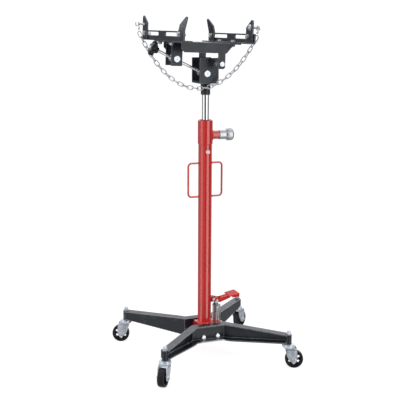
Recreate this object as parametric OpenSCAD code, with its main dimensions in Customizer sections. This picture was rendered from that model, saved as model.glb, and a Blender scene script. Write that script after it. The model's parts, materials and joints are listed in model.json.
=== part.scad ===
// Telescopic transmission jack: four-leg castered base, foot-pumped
// hydraulic column and a tilting saddle with sliding corner fingers.
// Frame: origin on the floor under the ram axis, +Z up, +X along the
// saddle beam towards the pedal, -Y the front. Millimetres.

/* [Base] */
// Distance from the column axis to each caster socket
leg_reach = 384; // [340:1:430]
// Height of the leg pressings at the hub
hub_h = 72; // [60:1:80]
// Height of the top of the hub above the floor
hub_top_z = 150; // [144:1:152]
// Width of the leg flanges
leg_flange = 30; // [28:1:34]
// Sheet thickness of the leg pressings
leg_t = 5; // [4:0.5:6]
// Outer diameter of the caster sockets
socket_d = 25; // [22:1:28]

/* [Casters] */
// Wheel diameter
wheel_d = 76; // [66:1:78]
// Wheel tread width
wheel_w = 28; // [22:1:30]
// Horizontal distance from swivel axis to axle
caster_trail = 24; // [18:1:28]
// Number of lightening holes in each wheel
wheel_holes = 6; // [4:1:8]

/* [Column] */
// Outer diameter of the reservoir tube
tube_d = 57; // [54:0.5:60]
// Outer diameter of the top collar
collar_d = 62; // [61:0.5:66]
// Diameter of the chromed ram
ram_d = 29; // [26:0.5:31]
// Height of the collar top
collar_top_z = 1018; // [1000:1:1030]
// Distance the ram stands above its lowest position
ram_raised = 104; // [60:1:110]
// Diameter of the carrying handle rod
handle_rod_d = 8; // [6:0.5:10]
// Reach of the carrying handles from the column axis
handle_reach = 75; // [60:1:90]

/* [Saddle] */
// Tilt of the saddle beam at rest, right end down
rest_tilt = 2; // [0:0.5:4]
// Half width of the tilt beam between flange outer faces
beam_half_w = 110; // [100:1:116]
// Length of each rail
rail_l = 476; // [440:1:500]
// Height and width of the rail angle
rail_h = 40; // [36:1:44]
// Height of each finger
finger_h = 99; // [90:1:110]
// Width of each finger
finger_w = 62; // [50:1:66]
// Plate thickness of the fingers
finger_t = 6; // [4:0.5:8]

/* [Chain] */
// Number of links in the safety chain
chain_links = 31; // [29:1:33]
// Wire diameter of the chain
chain_wire = 4; // [3:0.5:4.5]

/* [Hidden] */
$fn = 48;
hair = 0.01; // small overlap or gap between faces
fit = 0.05;  // radial clearance of a close fit

// colours used more than once
base_black = [0.13, 0.14, 0.16];
saddle_black = [0.12, 0.13, 0.15];
red = [0.75, 0.1, 0.08];
handle_red = [0.72, 0.12, 0.1];
zinc = [0.8, 0.82, 0.85];
dull_steel = [0.7, 0.72, 0.75];
steel = [0.75, 0.77, 0.8];
pale_steel = [0.78, 0.8, 0.83];
bright = [0.85, 0.86, 0.88];
fork_steel = [0.75, 0.78, 0.82];
rubber = [0.08, 0.08, 0.09];

// ---------- helpers ----------
module plate_xz(points, y0, t)
  translate([0, y0 + t, 0]) rotate([90, 0, 0]) linear_extrude(t) polygon(points);
// the same plate on both sides of y = 0, inner faces at y_in
module plate_pair(points, y_in, t)
  for (y0 = [y_in, -y_in - t]) plate_xz(points, y0, t);
module plate_yz(points, x0, t)
  translate([x0, 0, 0]) rotate([90, 0, 90]) linear_extrude(t) polygon(points);
module cyl_y(x, z, y0, y1, r) translate([x, y1, z]) rotate([90, 0, 0]) cylinder(r = r, h = y1 - y0);
module cyl_y_pair(x, z, y_in, y_out, r) {
  cyl_y(x, z, y_in, y_out, r);
  cyl_y(x, z, -y_out, -y_in, r);
}
module cyl_x(y, z, x0, x1, r) translate([x0, y, z]) rotate([0, 90, 0]) cylinder(r = r, h = x1 - x0);
// turns a child's Z axis to +X (dir = 1) or -X (dir = -1)
module facing_x(x, y, z, dir) translate([x, y, z]) rotate([0, 90 * dir, 0]) children();
module hexagon(flats, h) cylinder(d = flats / cos(30), h = h, $fn = 6);
module hex_nut(flats, h, bore_r) difference() {
  hexagon(flats, h);
  translate([0, 0, -1]) cylinder(r = bore_r, h = h + 2);
}
module ring(outer_r, bore_r, h) difference() {
  cylinder(r = outer_r, h = h);
  translate([0, 0, -1]) cylinder(r = bore_r, h = h + 2);
}
// closes a right-hand outline with its mirror image across x = 0
function mirrored(right) =
  concat(right, [for (i = [len(right) - 1:-1:0]) [-right[i].x, right[i].y]]);

// ---------- base ----------
hub_bot_z = hub_top_z - hub_h;
end_top_z = hub_top_z - 8;         // leg ends
end_bot_z = hub_bot_z + 27;
web_y = 50;                        // outer face of each hub web
fold_x = 71.4;                     // fold line of the legs at the web face
leg_xy = leg_reach / sqrt(2);      // socket position along X and Y
block_top_z = hub_top_z - 5;
socket_bot_z = end_bot_z - 4;
base_bolt_x = [-23, 41];
base_bolt_z = hub_bot_z + 15;
base_bolt_r = 5;
stem_r = 6;                        // caster stem
// left, front, right, back
caster_at = [[-leg_xy, leg_xy], [-leg_xy, -leg_xy], [leg_xy, -leg_xy], [leg_xy, leg_xy]];
caster_swivel = [157, -128, -23, 37];

// plan points a given distance ahead of the web face (negative is behind it)
function fold_point(ahead) = [fold_x - ahead * tan(22.5), -web_y - ahead];
function tip_point(ahead, length) =
  [fold_x + sqrt(0.5) * (length - ahead), -web_y - sqrt(0.5) * (length + ahead)];
// plan of a band along the hub and both legs
function leg_band(from, to, length) = mirrored(
  [fold_point(from), tip_point(from, length), tip_point(to, length), fold_point(to)]);

// side outline of a half: level over the hub, tapering through the leg ends
module side_outline(inset) {
  outer_x = leg_xy + 40;
  level_x = fold_x + 12;
  overrun = (outer_x - leg_xy) / (leg_xy - level_x);
  plate_xz(mirrored([
    [level_x, hub_bot_z + inset],
    [outer_x, end_bot_z + inset + (end_bot_z - hub_bot_z) * overrun],
    [outer_x, end_top_z - inset - (hub_top_z - end_top_z) * overrun],
    [level_x, hub_top_z - inset]]), -400, 400);
}

// front half; flanges towards the front
module half_pressing() {
  leg_l = (2 * leg_xy - fold_x - web_y) * sqrt(0.5) - 3;
  difference() {
    intersection() {
      linear_extrude(300) polygon(leg_band(-leg_t, leg_flange, leg_l));
      side_outline(0);
    }
    intersection() {
      translate([0, 0, -5]) linear_extrude(300) polygon(leg_band(0, leg_flange + 20, leg_l + 20));
      side_outline(leg_t);
    }
    for (side = [-1, 1]) translate([side * leg_xy, -leg_xy, 0]) cylinder(d = socket_d, h = 200);
    for (x = base_bolt_x) cyl_y(x, base_bolt_z, -60, -40, base_bolt_r + 0.2);
  }
}
module base_front_half() color(base_black) half_pressing();
module base_rear_half() color(base_black) mirror([0, 1, 0]) half_pressing();
module caster_sockets() color(base_black)
  for (at = caster_at) translate([at.x, at.y, socket_bot_z])
    ring(socket_d / 2, stem_r + 0.1, end_top_z - socket_bot_z);

module base_bolts() color(zinc) {
  washer_t = 2;
  for (rear = [0, 1]) for (x = base_bolt_x) mirror([0, rear, 0]) {
    translate([x, -web_y - washer_t, base_bolt_z]) rotate([90, 0, 0]) hexagon(17, 6.5);
    cyl_y(x, base_bolt_z, -web_y - washer_t, -web_y, 10);
    cyl_y(x, base_bolt_z, -web_y, -22, base_bolt_r);
  }
}

// ---------- column ----------
tube_top_z = collar_top_z - 97;
cyl_bore_r = 17;                   // pressure cylinder
cyl_outer_r = 21;
cyl_bot_z = 100;
cyl_top_z = collar_top_z - 46;
collar_bore_r = 25;
wiper_z = collar_top_z - 11;
wiper_r = 19;
filler_z = 887;
filler_r = 6;
valve_z = collar_top_z - 64;
valve_stem_r = 4.5;
pump_x = 52;
pump_r = 10;
plunger_r = 6;
stop_rod_at = [69.5, -5.5, block_top_z - 12];
stop_rod_r = 3;

module power_block() color(red) {
  passage_z = 106;
  passage_r = 3;
  difference() {
    union() {
      translate([-34, -44.9, hub_bot_z]) cube([108, 89.8, block_top_z - hub_bot_z]);
      translate([0, 0, block_top_z - hair]) cylinder(r = 25.2, h = 8 + hair);
    }
    // cylinder and pump pockets
    translate([0, 0, cyl_bot_z]) cylinder(r = cyl_outer_r + fit, h = 80);
    translate([pump_x, 0, 112]) cylinder(r = pump_r + fit, h = 60);
    // oil passages
    cyl_y(pump_x, passage_z, -20, 0, passage_r);
    cyl_x(0, passage_z, 0, pump_x, passage_r);
    translate([0, 0, 97]) cylinder(r = passage_r, h = 10);
    translate([pump_x, 0, 103]) cylinder(r = passage_r, h = 12);
    for (x = base_bolt_x) cyl_y_pair(x, base_bolt_z, 21, 46, base_bolt_r + fit);
    translate(stop_rod_at) cylinder(r = stop_rod_r + fit, h = 20);
  }
}
module reservoir_tube() color(red) translate([0, 0, block_top_z]) difference() {
  cylinder(d = tube_d, h = tube_top_z - block_top_z);
  translate([0, 0, -1]) cylinder(r = 25.3, h = 1000);
  translate([0, 0, filler_z - block_top_z]) rotate([90, 0, 0])
    cylinder(r = filler_r + fit, h = 40);
}
module top_collar() color(red) {
  chamfer = 2;
  difference() {
    union() {
      translate([0, 0, tube_top_z])
        cylinder(d = collar_d, h = collar_top_z - tube_top_z - chamfer);
      translate([0, 0, collar_top_z - chamfer])
        cylinder(d1 = collar_d, d2 = collar_d - 2 * chamfer, h = chamfer);
      cyl_x(0, valve_z, 20, 59, 17.5); // valve boss
    }
    translate([0, 0, tube_top_z - 1]) cylinder(r = collar_bore_r, h = 200);
    cyl_x(0, valve_z, 20, 60, valve_stem_r + fit);
  }
}
module pressure_cylinder() color([0.6, 0.62, 0.65]) difference() {
  translate([0, 0, cyl_bot_z]) cylinder(r = cyl_outer_r, h = cyl_top_z - cyl_bot_z);
  translate([0, 0, cyl_bot_z + 4]) cylinder(r = cyl_bore_r, h = 900);
  translate([0, 0, cyl_bot_z - 1]) cylinder(r = 3, h = 10);
}
module ram_gland() color([0.62, 0.64, 0.67]) difference() {
  union() {
    translate([0, 0, cyl_top_z])
      cylinder(r = collar_bore_r - fit, h = collar_top_z - cyl_top_z - 3);
    translate([0, 0, cyl_top_z - 5]) cylinder(r = cyl_bore_r - fit, h = 6);
  }
  translate([0, 0, 900]) cylinder(r = ram_d / 2 + fit, h = 200);
  translate([0, 0, wiper_z]) cylinder(r = wiper_r + fit, h = 20);
}
module ram_wiper() color([0.1, 0.1, 0.1])
  translate([0, 0, wiper_z]) ring(wiper_r, ram_d / 2 + fit, 12);
module filler_plug() color([0.92, 0.9, 0.86]) {
  cyl_y(0, filler_z, -tube_d / 2 - 5, -22, filler_r);
  cyl_y(0, filler_z, -tube_d / 2 - 6, -tube_d / 2 - hair, 8.5);
}

// rod bent to a U, both ends on the right of the tube
module handle() {
  rod_r = handle_rod_d / 2;
  tube_r = tube_d / 2;
  low_z = 696;
  high_z = 838;
  bend_r = 14;
  bend_x = handle_reach - bend_r;
  difference() {
    union() {
      for (z = [low_z, high_z]) cyl_x(0, z, tube_r - 3, bend_x, rod_r);
      translate([handle_reach, 0, low_z + bend_r])
        cylinder(r = rod_r, h = high_z - low_z - 2 * bend_r);
      // each bend: centre height, start angle
      for (bend = [[low_z + bend_r, -90], [high_z - bend_r, 0]])
        translate([bend_x, 0, bend[0]]) rotate([90, 0, 0])
          rotate_extrude(angle = 90, start = bend[1]) translate([bend_r, 0]) circle(r = rod_r);
    }
    translate([0, 0, low_z - 50]) cylinder(r = tube_r, h = 300);
  }
}
module carry_handle_left() color(handle_red) mirror([1, 0, 0]) handle();
module carry_handle_right() color(handle_red) handle();

// ---------- pump ----------
fulcrum_x = 36.5;
fulcrum_z = 246;
plunger_pin_z = 238;
pin_r = 4;
spring_cap_z = 216;
spring_turns = 9;

// pin along Y with a head at each end
module headed_pin(x, z, shank_y) {
  cyl_y(x, z, -shank_y, shank_y, pin_r);
  cyl_y_pair(x, z, 15.6, 18.6, 6);
}
module pump_body() color(dull_steel) translate([pump_x, 0, 114]) difference() {
  cylinder(r = pump_r, h = 66);
  translate([0, 0, 3]) cylinder(r = plunger_r + fit, h = 80);
  translate([0, 0, -1]) cylinder(r = 2.5, h = 10);
}
module pump_plunger() color(steel) {
  translate([pump_x, 0, 140]) cylinder(r = plunger_r, h = 86);
  difference() {
    translate([pump_x - 6.5, -9, 225]) cube([13, 18, 21]);
    cyl_y(pump_x, plunger_pin_z, -12, 12, pin_r);
  }
  headed_pin(pump_x, plunger_pin_z, 17.5);
}
module spring_cap() color(dull_steel) translate([pump_x, 0, spring_cap_z]) difference() {
  union() {
    cylinder(r = 14.2, h = 2.5);
    cylinder(r = 10.5, h = 7);
  }
  translate([0, 0, -1]) cylinder(r = plunger_r, h = 20);
}

// closed polyhedron swept along a helix
module return_spring() {
  turn_steps = 22;
  sides = 8;
  wire_r = 1.7;
  coil_r = 13.2;
  end_gap = 0.4;
  z0 = block_top_z + wire_r + end_gap;
  z1 = spring_cap_z - end_gap - wire_r;
  steps = turn_steps * spring_turns;
  points = [for (i = [0:steps]) for (j = [0:sides - 1])
    let (along = 360 * i / turn_steps, round = 360 * j / sides,
      r = coil_r + wire_r * cos(round))
    [r * cos(along), r * sin(along), z0 + (z1 - z0) * i / steps + wire_r * sin(round)]];
  faces = concat(
    [for (i = [0:steps - 1]) for (j = [0:sides - 1])
      let (next = (j + 1) % sides, here = i * sides, ahead = here + sides)
      [here + j, here + next, ahead + next, ahead + j]],
    [[for (j = [sides - 1:-1:0]) j]],
    [[for (j = [0:sides - 1]) steps * sides + j]]);
  color([0.65, 0.66, 0.68]) translate([pump_x, 0, 0]) polyhedron(points = points, faces = faces);
}
module pedal_bracket() color([0.12, 0.12, 0.13]) difference() {
  union() {
    translate([20, -9, fulcrum_z - 14]) cube([fulcrum_x - 20, 18, 22]);
    cyl_y(fulcrum_x, fulcrum_z, -9, 9, 8);
  }
  translate([0, 0, 200]) cylinder(r = tube_d / 2, h = 100);
  cyl_y(fulcrum_x, fulcrum_z, -12, 12, pin_r);
}
module fulcrum_pin() color(pale_steel) headed_pin(fulcrum_x, fulcrum_z, 17);
module stop_rod() color(steel) translate(stop_rod_at) {
  cylinder(r = stop_rod_r, h = 84);
  translate([0, 0, 83.9]) cylinder(r1 = stop_rod_r, r2 = 1.8, h = 1.6);
}

// top line of the lever arm
function arm_z(x) = 247 + 0.185 * (x - 68);
// strip between x0 and x1; its edges are heights relative to the arm's top line
function arm_strip(x0, x1, low0, low1, high) = [[x0, arm_z(x0) + low0], [x1, arm_z(x1) + low1],
  [x1, arm_z(x1) + high], [x0, arm_z(x0) + high]];

module pedal_lever() color([0.8, 0.12, 0.1]) {
  // cheek outline (x, z), round the fulcrum and along the arm
  cheek = [[fulcrum_x - 8, fulcrum_z - 5], [fulcrum_x, fulcrum_z - 9], [66, 228], [114, 244],
    [114, arm_z(114)], [68, arm_z(68)], [fulcrum_x + 8, fulcrum_z + 7],
    [fulcrum_x, fulcrum_z + 9], [fulcrum_x - 8, fulcrum_z + 5]];
  // slot end centres (x, z)
  slot0 = [fulcrum_x + 15.3, fulcrum_z - 8.2];
  slot1 = [fulcrum_x + 21.9, fulcrum_z - 4.3];
  slot_mid = (slot0 + slot1) / 2;
  slot_dir = slot1 - slot0;
  difference() {
    plate_pair(cheek, 11, 4);
    cyl_y(fulcrum_x, fulcrum_z, -20, 20, pin_r + fit);
    // slot for the plunger pin
    for (end = [slot0, slot1]) cyl_y(end[0], end[1], -20, 20, 4.9);
    translate([slot_mid[0], 0, slot_mid[1]]) rotate([0, -atan2(slot_dir[1], slot_dir[0]), 0])
      cube([7.67, 40, 9.78], center = true);
  }
  // top web that ties the cheeks
  plate_xz(arm_strip(74, 112, -4.6, -4.6, -0.6), -14, 28);
  // foot plate with turned-down end and side edges
  plate_xz(arm_strip(106, 151, -1.5, -1.5, 2.5), -32, 64);
  plate_xz(arm_strip(146.6, 150.6, -13, -13, 1), -31.6, 63.2);
  plate_pair(arm_strip(118, 150.2, -8, -12.5, 0.5), 27.4, 4);
}

// ---------- release valve ----------
stem_end_x = 112;
stem_collar_x = 62; // outer face of the stem's collar
stem_collar_r = 9;

module release_stem() color(dull_steel) {
  cyl_x(0, valve_z, 27, stem_end_x, valve_stem_r);
  cyl_x(0, valve_z, 59.3, stem_collar_x, stem_collar_r);
}
module release_knob() color([0.85, 0.87, 0.9]) {
  flute_pitch = 15;
  difference() {
    union() {
      cyl_x(0, valve_z, 59.5, 95, 19.6);
      cyl_x(0, valve_z, 94.9, 120, 25.5);
    }
    cyl_x(0, valve_z, 40, stem_end_x, valve_stem_r);
    cyl_x(0, valve_z, 50, stem_collar_x + 0.1, stem_collar_r + fit);
    for (angle = [0:flute_pitch:360 - flute_pitch])
      translate([0, 0, valve_z]) rotate([angle, 0, 0]) cyl_x(0, 27.2, 98, 121, 2.4);
    cyl_x(0, valve_z, 114, 130, 19); // recess in the end face
  }
}

// ---------- ram ----------
piston_z = cyl_bot_z + 5 + ram_raised;
socket_z = collar_top_z + 103;    // shoulder of the ram under the saddle
spigot_r = 12;                    // top of the ram, inside the saddle
piston_rod_r = 11;
piston_h = 30;
seal_z = piston_z + 12;
seal_h = 6;
seal_bore_r = 14;

module ram_rod() color([0.86, 0.88, 0.9]) {
  translate([0, 0, piston_z + 2]) cylinder(r = piston_rod_r, h = 29);
  translate([0, 0, piston_z + piston_h]) cylinder(d = ram_d, h = socket_z - piston_z - piston_h);
  translate([0, 0, socket_z - hair]) cylinder(r = spigot_r, h = 46);
}
module ram_piston() color([0.55, 0.57, 0.6]) difference() {
  translate([0, 0, piston_z]) cylinder(r = cyl_bore_r - fit, h = piston_h);
  translate([0, 0, piston_z + 2]) cylinder(r = piston_rod_r, h = 40);
  translate([0, 0, seal_z]) ring(20, seal_bore_r, seal_h);
}
module piston_seal() color([0.12, 0.12, 0.12])
  translate([0, 0, seal_z]) ring(cyl_bore_r - fit, seal_bore_r, seal_h);
module thrust_washer() color([0.8, 0.7, 0.4]) translate([0, 0, socket_z]) ring(17, spigot_r, 2);

// ---------- saddle ----------
neck_z = socket_z + 29;
bracket_bot_z = neck_z + 20;
bracket_top_z = bracket_bot_z + 103;
bracket_y = 47;                   // outer faces of the saddle bracket
screw_bracket_y = 38;             // outer faces of the screw bracket
// points (x, z)
pivot = [26, bracket_bot_z + 81];
lower_trunnion = [-11, bracket_bot_z + 40];
upper_trunnion = [-138, bracket_bot_z + 100]; // at rest tilt
pivot_r = 7;
trunnion_r = 12.5;
screw_r = 6;
screw_slope = atan2(upper_trunnion[1] - lower_trunnion[1], lower_trunnion[0] - upper_trunnion[0]);
beam_top_z = bracket_bot_z + 164;
beam_bot_z = beam_top_z - 41;
beam_plate_t = 5;
beam_flange_t = 6;
rail_left_x = -191;               // middle of each rail web
rail_right_x = 109;
rail_t = 5;
rail_z = beam_top_z;
rail_bolt_x = [rail_left_x + 15, rail_right_x - 21];
rail_bolt_r = 5;
slot_z = rail_z + 27;
chain_z = rail_z + 64;            // chain anchor bolts

module tilted()
  translate([pivot[0], 0, pivot[1]]) rotate([0, rest_tilt, 0])
    translate([-pivot[0], 0, -pivot[1]]) children();
// point (x, z) swung about the pivot, positive lowers the right end
function swung(point, angle) = let (d = point - pivot, c = cos(angle), s = sin(angle))
  pivot + [d[0] * c + d[1] * s, d[1] * c - d[0] * s];
// frame on the tilt screw axis, dist from the upper towards the lower trunnion
module on_screw(dist)
  translate([upper_trunnion[0], 0, upper_trunnion[1]]) rotate([0, 90 + screw_slope, 0])
    translate([0, 0, dist]) children();
module screw_rod(from, to, r) on_screw(from) cylinder(r = r, h = to - from);
module at_rail_bolts(z)
  for (side = [-1, 1]) for (x = rail_bolt_x) translate([x, side * 70, z]) children();

module saddle_bracket() color(saddle_black) {
  wall_t = 7;
  left_x = -43;
  right_x = 39;
  difference() {
    union() {
      translate([0, 0, socket_z + 2]) cylinder(d = 38.7, h = 27 + hair);
      translate([0, 0, neck_z]) cylinder(d = 41, h = bracket_bot_z - neck_z + 3);
      translate([left_x, -bracket_y, bracket_bot_z])
        cube([right_x - left_x, 2 * bracket_y, wall_t]);
      plate_pair([[left_x, bracket_bot_z], [16, bracket_bot_z], [right_x, bracket_bot_z + 13],
        [right_x, bracket_top_z], [left_x, bracket_top_z]], bracket_y - wall_t, wall_t);
      cyl_y_pair(pivot[0], pivot[1], bracket_y - hair, bracket_y + 5, 11);
    }
    translate([0, 0, socket_z - 1]) cylinder(r = spigot_r + fit, h = 48);
    cyl_y(lower_trunnion[0], lower_trunnion[1], -60, 60, trunnion_r + fit);
    cyl_y(pivot[0], pivot[1], -60, 60, pivot_r + fit);
  }
}
// cross bar with a screw hole and a small recess in each end
module trunnion(at, half_l, hole_r) difference() {
  cyl_y(at[0], at[1], -half_l, half_l, trunnion_r);
  screw_rod(-40, 240, hole_r);
  cyl_y_pair(at[0], at[1], half_l - 2.5, half_l + 1, 3);
}
module trunnion_lower() color(bright) trunnion(lower_trunnion, bracket_y + 3, 7.2);
module trunnion_upper() color(bright) trunnion(upper_trunnion, screw_bracket_y + 3, screw_r + fit);
module tilt_screw() color(bright) {
  screw_rod(-104, 180, screw_r);
  // shoulder collars either side of the upper trunnion
  for (from = [-18.5, 12.8]) screw_rod(from, from + 5.7, 9.5);
}
module tilt_knob() color([0.1, 0.1, 0.11]) on_screw(-110) difference() {
  union() {
    // six lobes
    linear_extrude(24) polygon([for (a = [0:5:355])
      let (r = 25.5 + 5.5 * cos(6 * a)) [r * cos(a), r * sin(a)]]);
    translate([0, 0, 23]) cylinder(r = 13, h = 12);
  }
  translate([0, 0, 6]) cylinder(r = screw_r, h = 60);
}

module tilt_beam() color(saddle_black) {
  // flange and pivot lug outlines (x, z)
  flange = [[-133, beam_bot_z], [46, beam_bot_z], [77, beam_top_z - 4],
    [77, beam_top_z - hair], [-147, beam_top_z - hair], [-147, beam_top_z - 26]];
  lug = [[11, pivot[1] - 14], [17, pivot[1] - 20], [35, pivot[1] - 20],
    [41, pivot[1] - 14], [41, beam_bot_z + 2], [11, beam_bot_z + 2]];
  tilted() difference() {
    union() {
      translate([rail_left_x + 3, -beam_half_w, beam_top_z - beam_plate_t])
        cube([rail_right_x - rail_left_x - 5, 2 * beam_half_w, beam_plate_t]);
      for (outline = [flange, lug])
        plate_pair(outline, beam_half_w - beam_flange_t, beam_flange_t);
    }
    cyl_y(pivot[0], pivot[1], -130, 130, pivot_r);
    at_rail_bolts(beam_top_z - 10) cylinder(r = rail_bolt_r + 0.2, h = 20);
    cyl_y(-132, beam_top_z - 14, 90, 130, 6); // hole in the rear flange
  }
}
module pivot_pin() color([0.86, 0.87, 0.9])
  cyl_y(pivot[0], pivot[1], -beam_half_w - 8, beam_half_w + 8, pivot_r);
module pivot_nuts() color(zinc) {
  nut_h = 6.5;
  for (y = [-beam_half_w, beam_half_w + nut_h])
    translate([pivot[0], y, pivot[1]]) rotate([90, 0, 0]) hex_nut(19, nut_h, pivot_r);
}
module screw_bracket() color(saddle_black) {
  at = swung(upper_trunnion, -rest_tilt); // lands on the trunnion once tilted
  half_l = 23;
  top_z = beam_top_z - beam_plate_t;
  tilted() difference() {
    union() {
      translate([at[0] - half_l, -screw_bracket_y, top_z - 7])
        cube([2 * half_l, 2 * screw_bracket_y, 7]);
      plate_pair([[at[0] - half_l, at[1] - 28], [at[0] + half_l, at[1] - 28],
        [at[0] + half_l, top_z], [at[0] - half_l, top_z]], screw_bracket_y - 6, 6);
    }
    cyl_y(at[0], at[1], -60, 60, trunnion_r + fit);
  }
}

// angle rail with its foot flange towards dir along X;
// front_more is extra length at the front, front_slot_y the last centre of the front slot
module rail(x, dir, front_more, front_slot_y) {
  slot_in = 47;
  slot_r = 7;
  length = rail_l + front_more;
  front_y = -rail_l / 2 - front_more;
  foot_x = dir > 0 ? x - rail_t / 2 : x + rail_t / 2 - rail_h;
  difference() {
    union() {
      translate([x - rail_t / 2, front_y, rail_z]) cube([rail_t, length, rail_h]);
      translate([foot_x, front_y, rail_z]) cube([rail_h, length, rail_t]);
    }
    for (side = [-1, 1]) {
      slot_out = side > 0 ? 219 : front_slot_y;
      translate([x - 4, side > 0 ? slot_in : -slot_out, slot_z - slot_r])
        cube([8, slot_out - slot_in, 2 * slot_r]);
      for (y = [slot_in, slot_out]) cyl_x(side * y, slot_z, x - 4, x + 4, slot_r);
    }
    at_rail_bolts(rail_z - 5) cylinder(r = rail_bolt_r + 0.2, h = 20);
  }
}
module rail_left() color(saddle_black) tilted() rail(rail_left_x, 1, 12, 229);
module rail_right() color(saddle_black) tilted() rail(rail_right_x, -1, 0, 219);
module rail_bolts() color(zinc) tilted() {
  shank_z = beam_top_z - 16;
  at_rail_bolts(rail_z + rail_t) hexagon(16, 6);
  at_rail_bolts(shank_z) cylinder(r = rail_bolt_r, h = rail_z + 6 - shank_z);
  at_rail_bolts(beam_top_z - 13.5) hexagon(16, 8.5);
}

// ---------- fingers ----------
// indices into the finger lists below
rear_left = 0;
front_left = 1;
rear_right = 2;
front_right = 3;
finger_rail_x = [rail_left_x, rail_left_x, rail_right_x, rail_right_x];
finger_y = [206, -244, 204, -196];
clamp_y = [206, -225, 204, -184];
foot_cut = [0, 0, 4.6, 4.6];      // trimmed off the bottom
top_drop = [0, 6, 2, 7];          // outline height below finger_h
finger_z = rail_z + 1;
web_gap = rail_t / 2 + 0.1;       // rail middle to the face of a clamped part
clamp_r = 6;
anchor_r = 5;

function outward(i) = sign(finger_y[i]);
function anchor_y(i) = finger_y[i] + outward(i) * 8;
// +X face and -X face of a finger
function finger_right_x(i) = finger_rail_x[i] - web_gap;
function finger_left_x(i) = finger_right_x(i) - finger_t;

// outline (y, z) from the finger foot, round corner on the outer edge
function finger_outline(i) = let (half_w = finger_w / 2, h = finger_h - top_drop[i], r = 12)
  [for (p = concat(
    [[-half_w, 4], [-half_w + 4, 0], [half_w - 4, 0], [half_w, 4], [half_w, h - r]],
    [for (a = [15:15:135]) [half_w - r + r * cos(a), h - r + r * sin(a)]],
    [[-half_w, h - 29]])) [outward(i) * p.x, p.y]];
module clamp_hole(i)
  cyl_x(clamp_y[i], slot_z, finger_rail_x[i] - 20, finger_rail_x[i] + 10, clamp_r + 0.2);

// flat plate against the -X face of the rail web
module straight_finger(i) {
  x = finger_rail_x[i];
  difference() {
    translate([0, finger_y[i], finger_z]) intersection() {
      plate_yz(finger_outline(i), finger_left_x(i), finger_t);
      translate([x - 50, -100, foot_cut[i]]) cube([100, 200, 200]);
    }
    clamp_hole(i);
    cyl_x(anchor_y(i), chain_z, x - 20, x + 10, anchor_r + 0.2);
  }
}
// the upper part leans towards the beam centre
module bent_finger(i) {
  lean = -sign(finger_rail_x[i]) * 13;
  left_x = finger_left_x(i);
  right_x = finger_right_x(i);
  foot_z = finger_z + foot_cut[i];
  bend_z = rail_z + rail_h + 3;
  top_z = bend_z + finger_h;
  top_dx = tan(lean) * finger_h;
  difference() {
    intersection() {
      plate_xz([[left_x, foot_z], [right_x, foot_z], [right_x, bend_z],
        [right_x + top_dx, top_z], [left_x + top_dx, top_z], [left_x, bend_z]],
        finger_y[i] - 100, 200);
      translate([0, finger_y[i], finger_z])
        plate_yz(finger_outline(i), finger_rail_x[i] - 60, 120);
    }
    clamp_hole(i);
    translate([(left_x + right_x) / 2 + tan(lean) * (chain_z - bend_z), 0, chain_z])
      rotate([0, lean, 0]) cyl_x(anchor_y(i), 0, -20, 20, anchor_r + 0.2);
  }
}
module finger_rear_left() color(saddle_black) tilted() straight_finger(rear_left);
module finger_front_left() color(saddle_black) tilted() bent_finger(front_left);
module finger_rear_right() color(saddle_black) tilted() bent_finger(rear_right);
module finger_front_right() color(saddle_black) tilted() straight_finger(front_right);

// bolt through finger and rail slot, with washer and nut
module clamp_bolt(i) {
  x = finger_rail_x[i];
  y = clamp_y[i];
  head_x = finger_left_x(i);
  facing_x(head_x, y, slot_z, -1) hexagon(17, 6.5);
  cyl_x(y, slot_z, head_x - 0.5, x + 18, clamp_r);
  facing_x(x + web_gap, y, slot_z, 1) ring(12, clamp_r, 2);
  facing_x(x + 4.7, y, slot_z, 1) hex_nut(19, 8, clamp_r);
}
// chain anchor bolts: free end to -X on the left, to +X on the right
module left_anchor_bolt(i) {
  y = anchor_y(i);
  end_x = finger_left_x(i) - 32;
  facing_x(finger_right_x(i), y, chain_z, 1) hexagon(16, 6);
  cyl_x(y, chain_z, end_x, finger_right_x(i) + 0.2, anchor_r);
  facing_x(end_x - 5, y, chain_z, 1) difference() {
    hexagon(16, 7);
    translate([0, 0, 5 + hair]) cylinder(r = anchor_r, h = 10);
  }
}
module right_anchor_bolt(i) {
  y = anchor_y(i);
  end_x = finger_rail_x[i] + 34;
  facing_x(finger_left_x(i), y, chain_z, -1) hexagon(16, 6);
  cyl_x(y, chain_z, finger_left_x(i) - 1, end_x, anchor_r);
  facing_x(end_x - 5 + hair, y, chain_z, 1) difference() {
    hexagon(16, 8);
    translate([0, 0, -1]) cylinder(r = anchor_r, h = 6);
  }
}
module finger_bolts_rear_left() color(zinc) tilted() {
  clamp_bolt(rear_left);
  left_anchor_bolt(rear_left);
}
module finger_bolts_front_left() color(zinc) tilted() clamp_bolt(front_left);
module finger_bolts_rear_right() color(zinc) tilted() clamp_bolt(rear_right);
module finger_bolts_front_right() color(zinc) tilted() {
  clamp_bolt(front_right);
  right_anchor_bolt(front_right);
}

// ---------- chain ----------
hook_top_r = 8;
hook_low_r = 7;
hook_wire_r = 2;
// anchor bolt axes where the hooks hang, world (x, z)
left_anchor = swung([finger_left_x(rear_left) - 24, chain_z], rest_tilt);
right_anchor = swung([rail_right_x + 23, chain_z], rest_tilt);
chain_drop = 2 * hook_top_r + hook_low_r + 10; // bolt axis to chain end
left_end = [left_anchor[0], anchor_y(rear_left), left_anchor[1] - chain_drop];
right_end = [right_anchor[0], anchor_y(front_right), right_anchor[1] - chain_drop];
run = right_end - left_end;
span = norm([run.x, run.y]);

function cosh(x) = (exp(x) + exp(-x)) / 2;
function sinh(x) = (exp(x) - exp(-x)) / 2;
function asinh(x) = ln(x + sqrt(x * x + 1));
sag_r = 200; // catenary parameter: radius at the lowest point
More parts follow.
